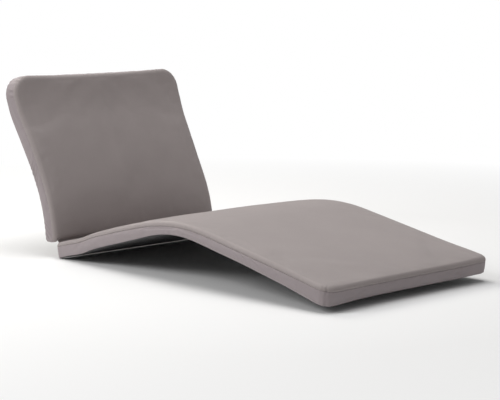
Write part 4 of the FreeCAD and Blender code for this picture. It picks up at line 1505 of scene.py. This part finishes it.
def make_floor():
    """A floor that fades out into the white backdrop."""
    mesh = bpy.data.meshes.new("floor")
    signs = ((-1, -1), (1, -1), (1, 1), (-1, 1))
    mesh.from_pydata([(x * FLOOR_HALF, y * FLOOR_HALF, FLOOR_Z) for x, y in signs], [],
                     [(0, 1, 2, 3)])
    floor = bpy.data.objects.new("floor", mesh)
    bpy.context.scene.collection.objects.link(floor)
    mat = Nodes("floor")
    mat.surface({"Base Color": (0.82, 0.82, 0.82), "Roughness": 0.9, "Specular IOR Level": 0.1})
    geometry = mat.new("ShaderNodeNewGeometry")
    far = mat.new("ShaderNodeVectorMath", operation="LENGTH")
    mat.feed(far.inputs[0], geometry.outputs["Position"])
    glow = mat.new("ShaderNodeEmission")
    mat.feed(glow.inputs["Strength"], white_to_camera(mat.tree))
    fade = mat.new("ShaderNodeMixShader")
    mat.feed(fade.inputs[0], mat.remap(far.outputs["Value"], span=FLOOR_FADE, to=(0.0, 1.0)))
    mat.feed(fade.inputs[1], mat.shader.outputs[0])
    mat.feed(fade.inputs[2], glow.outputs[0])
    mat.feed(mat.tree.nodes["Material Output"].inputs["Surface"], fade.outputs[0])
    mesh.materials.append(mat.material)


def make_world():
    world = bpy.data.worlds.new("world")
    bpy.context.scene.world = world
    world.use_nodes = True
    tree = world.node_tree
    background = tree.nodes["Background"]
    background.inputs[0].default_value = (1.0, 1.0, 1.0, 1)
    tree.links.new(white_to_camera(tree), background.inputs[1])


def lamp(name, place, aim, size, power, colour=(1, 1, 1)):
    data = bpy.data.lights.new(name, "AREA")
    data.shape = "RECTANGLE"
    data.size, data.size_y = size
    data.energy = power
    data.color = colour
    obj = bpy.data.objects.new(name, data)
    obj.location = place
    obj.rotation_mode = "QUATERNION"
    obj.rotation_quaternion = (Vector(aim) - Vector(place)).to_track_quat("-Z", "Y")
    bpy.context.scene.collection.objects.link(obj)


def make_camera():
    data = bpy.data.cameras.new("camera")
    camera = bpy.data.objects.new("camera", data)
    bpy.context.scene.collection.objects.link(camera)
    data.sensor_width = 36.0
    data.lens = 113.9
    data.clip_end = 100
    azimuth, elevation, distance = math.radians(46.3), math.radians(7.9), 3.659
    target = Vector((FOLD[0] + 0.3464, 0.0486, FOLD[1] + 0.1079))
    to_camera = Vector((math.sin(azimuth) * math.cos(elevation),
                        -math.cos(azimuth) * math.cos(elevation), math.sin(elevation)))
    camera.location = target + to_camera * distance
    camera.rotation_mode = "QUATERNION"
    camera.rotation_quaternion = (-to_camera).to_track_quat("-Z", "Y")
    bpy.context.scene.camera = camera


make_floor()
make_world()
lamp("key", place=(-1.2, -2.6, 2.0), aim=(0.0, 0.0, 0.15), size=(1.6, 1.4), power=54)
lamp("over", place=(-0.2, 0.3, 3.0), aim=(0.0, 0.0, 0.1), size=(2.4, 2.0), power=52)
lamp("head", place=(-2.6, 0.2, 2.4), aim=(0.0, 0.0, 0.2), size=(1.8, 1.4), power=43,
     colour=(1.0, 0.965, 0.90))
make_camera()
bpy.context.scene.view_settings.view_transform = "Standard"
bpy.context.scene.view_settings.look = "None"
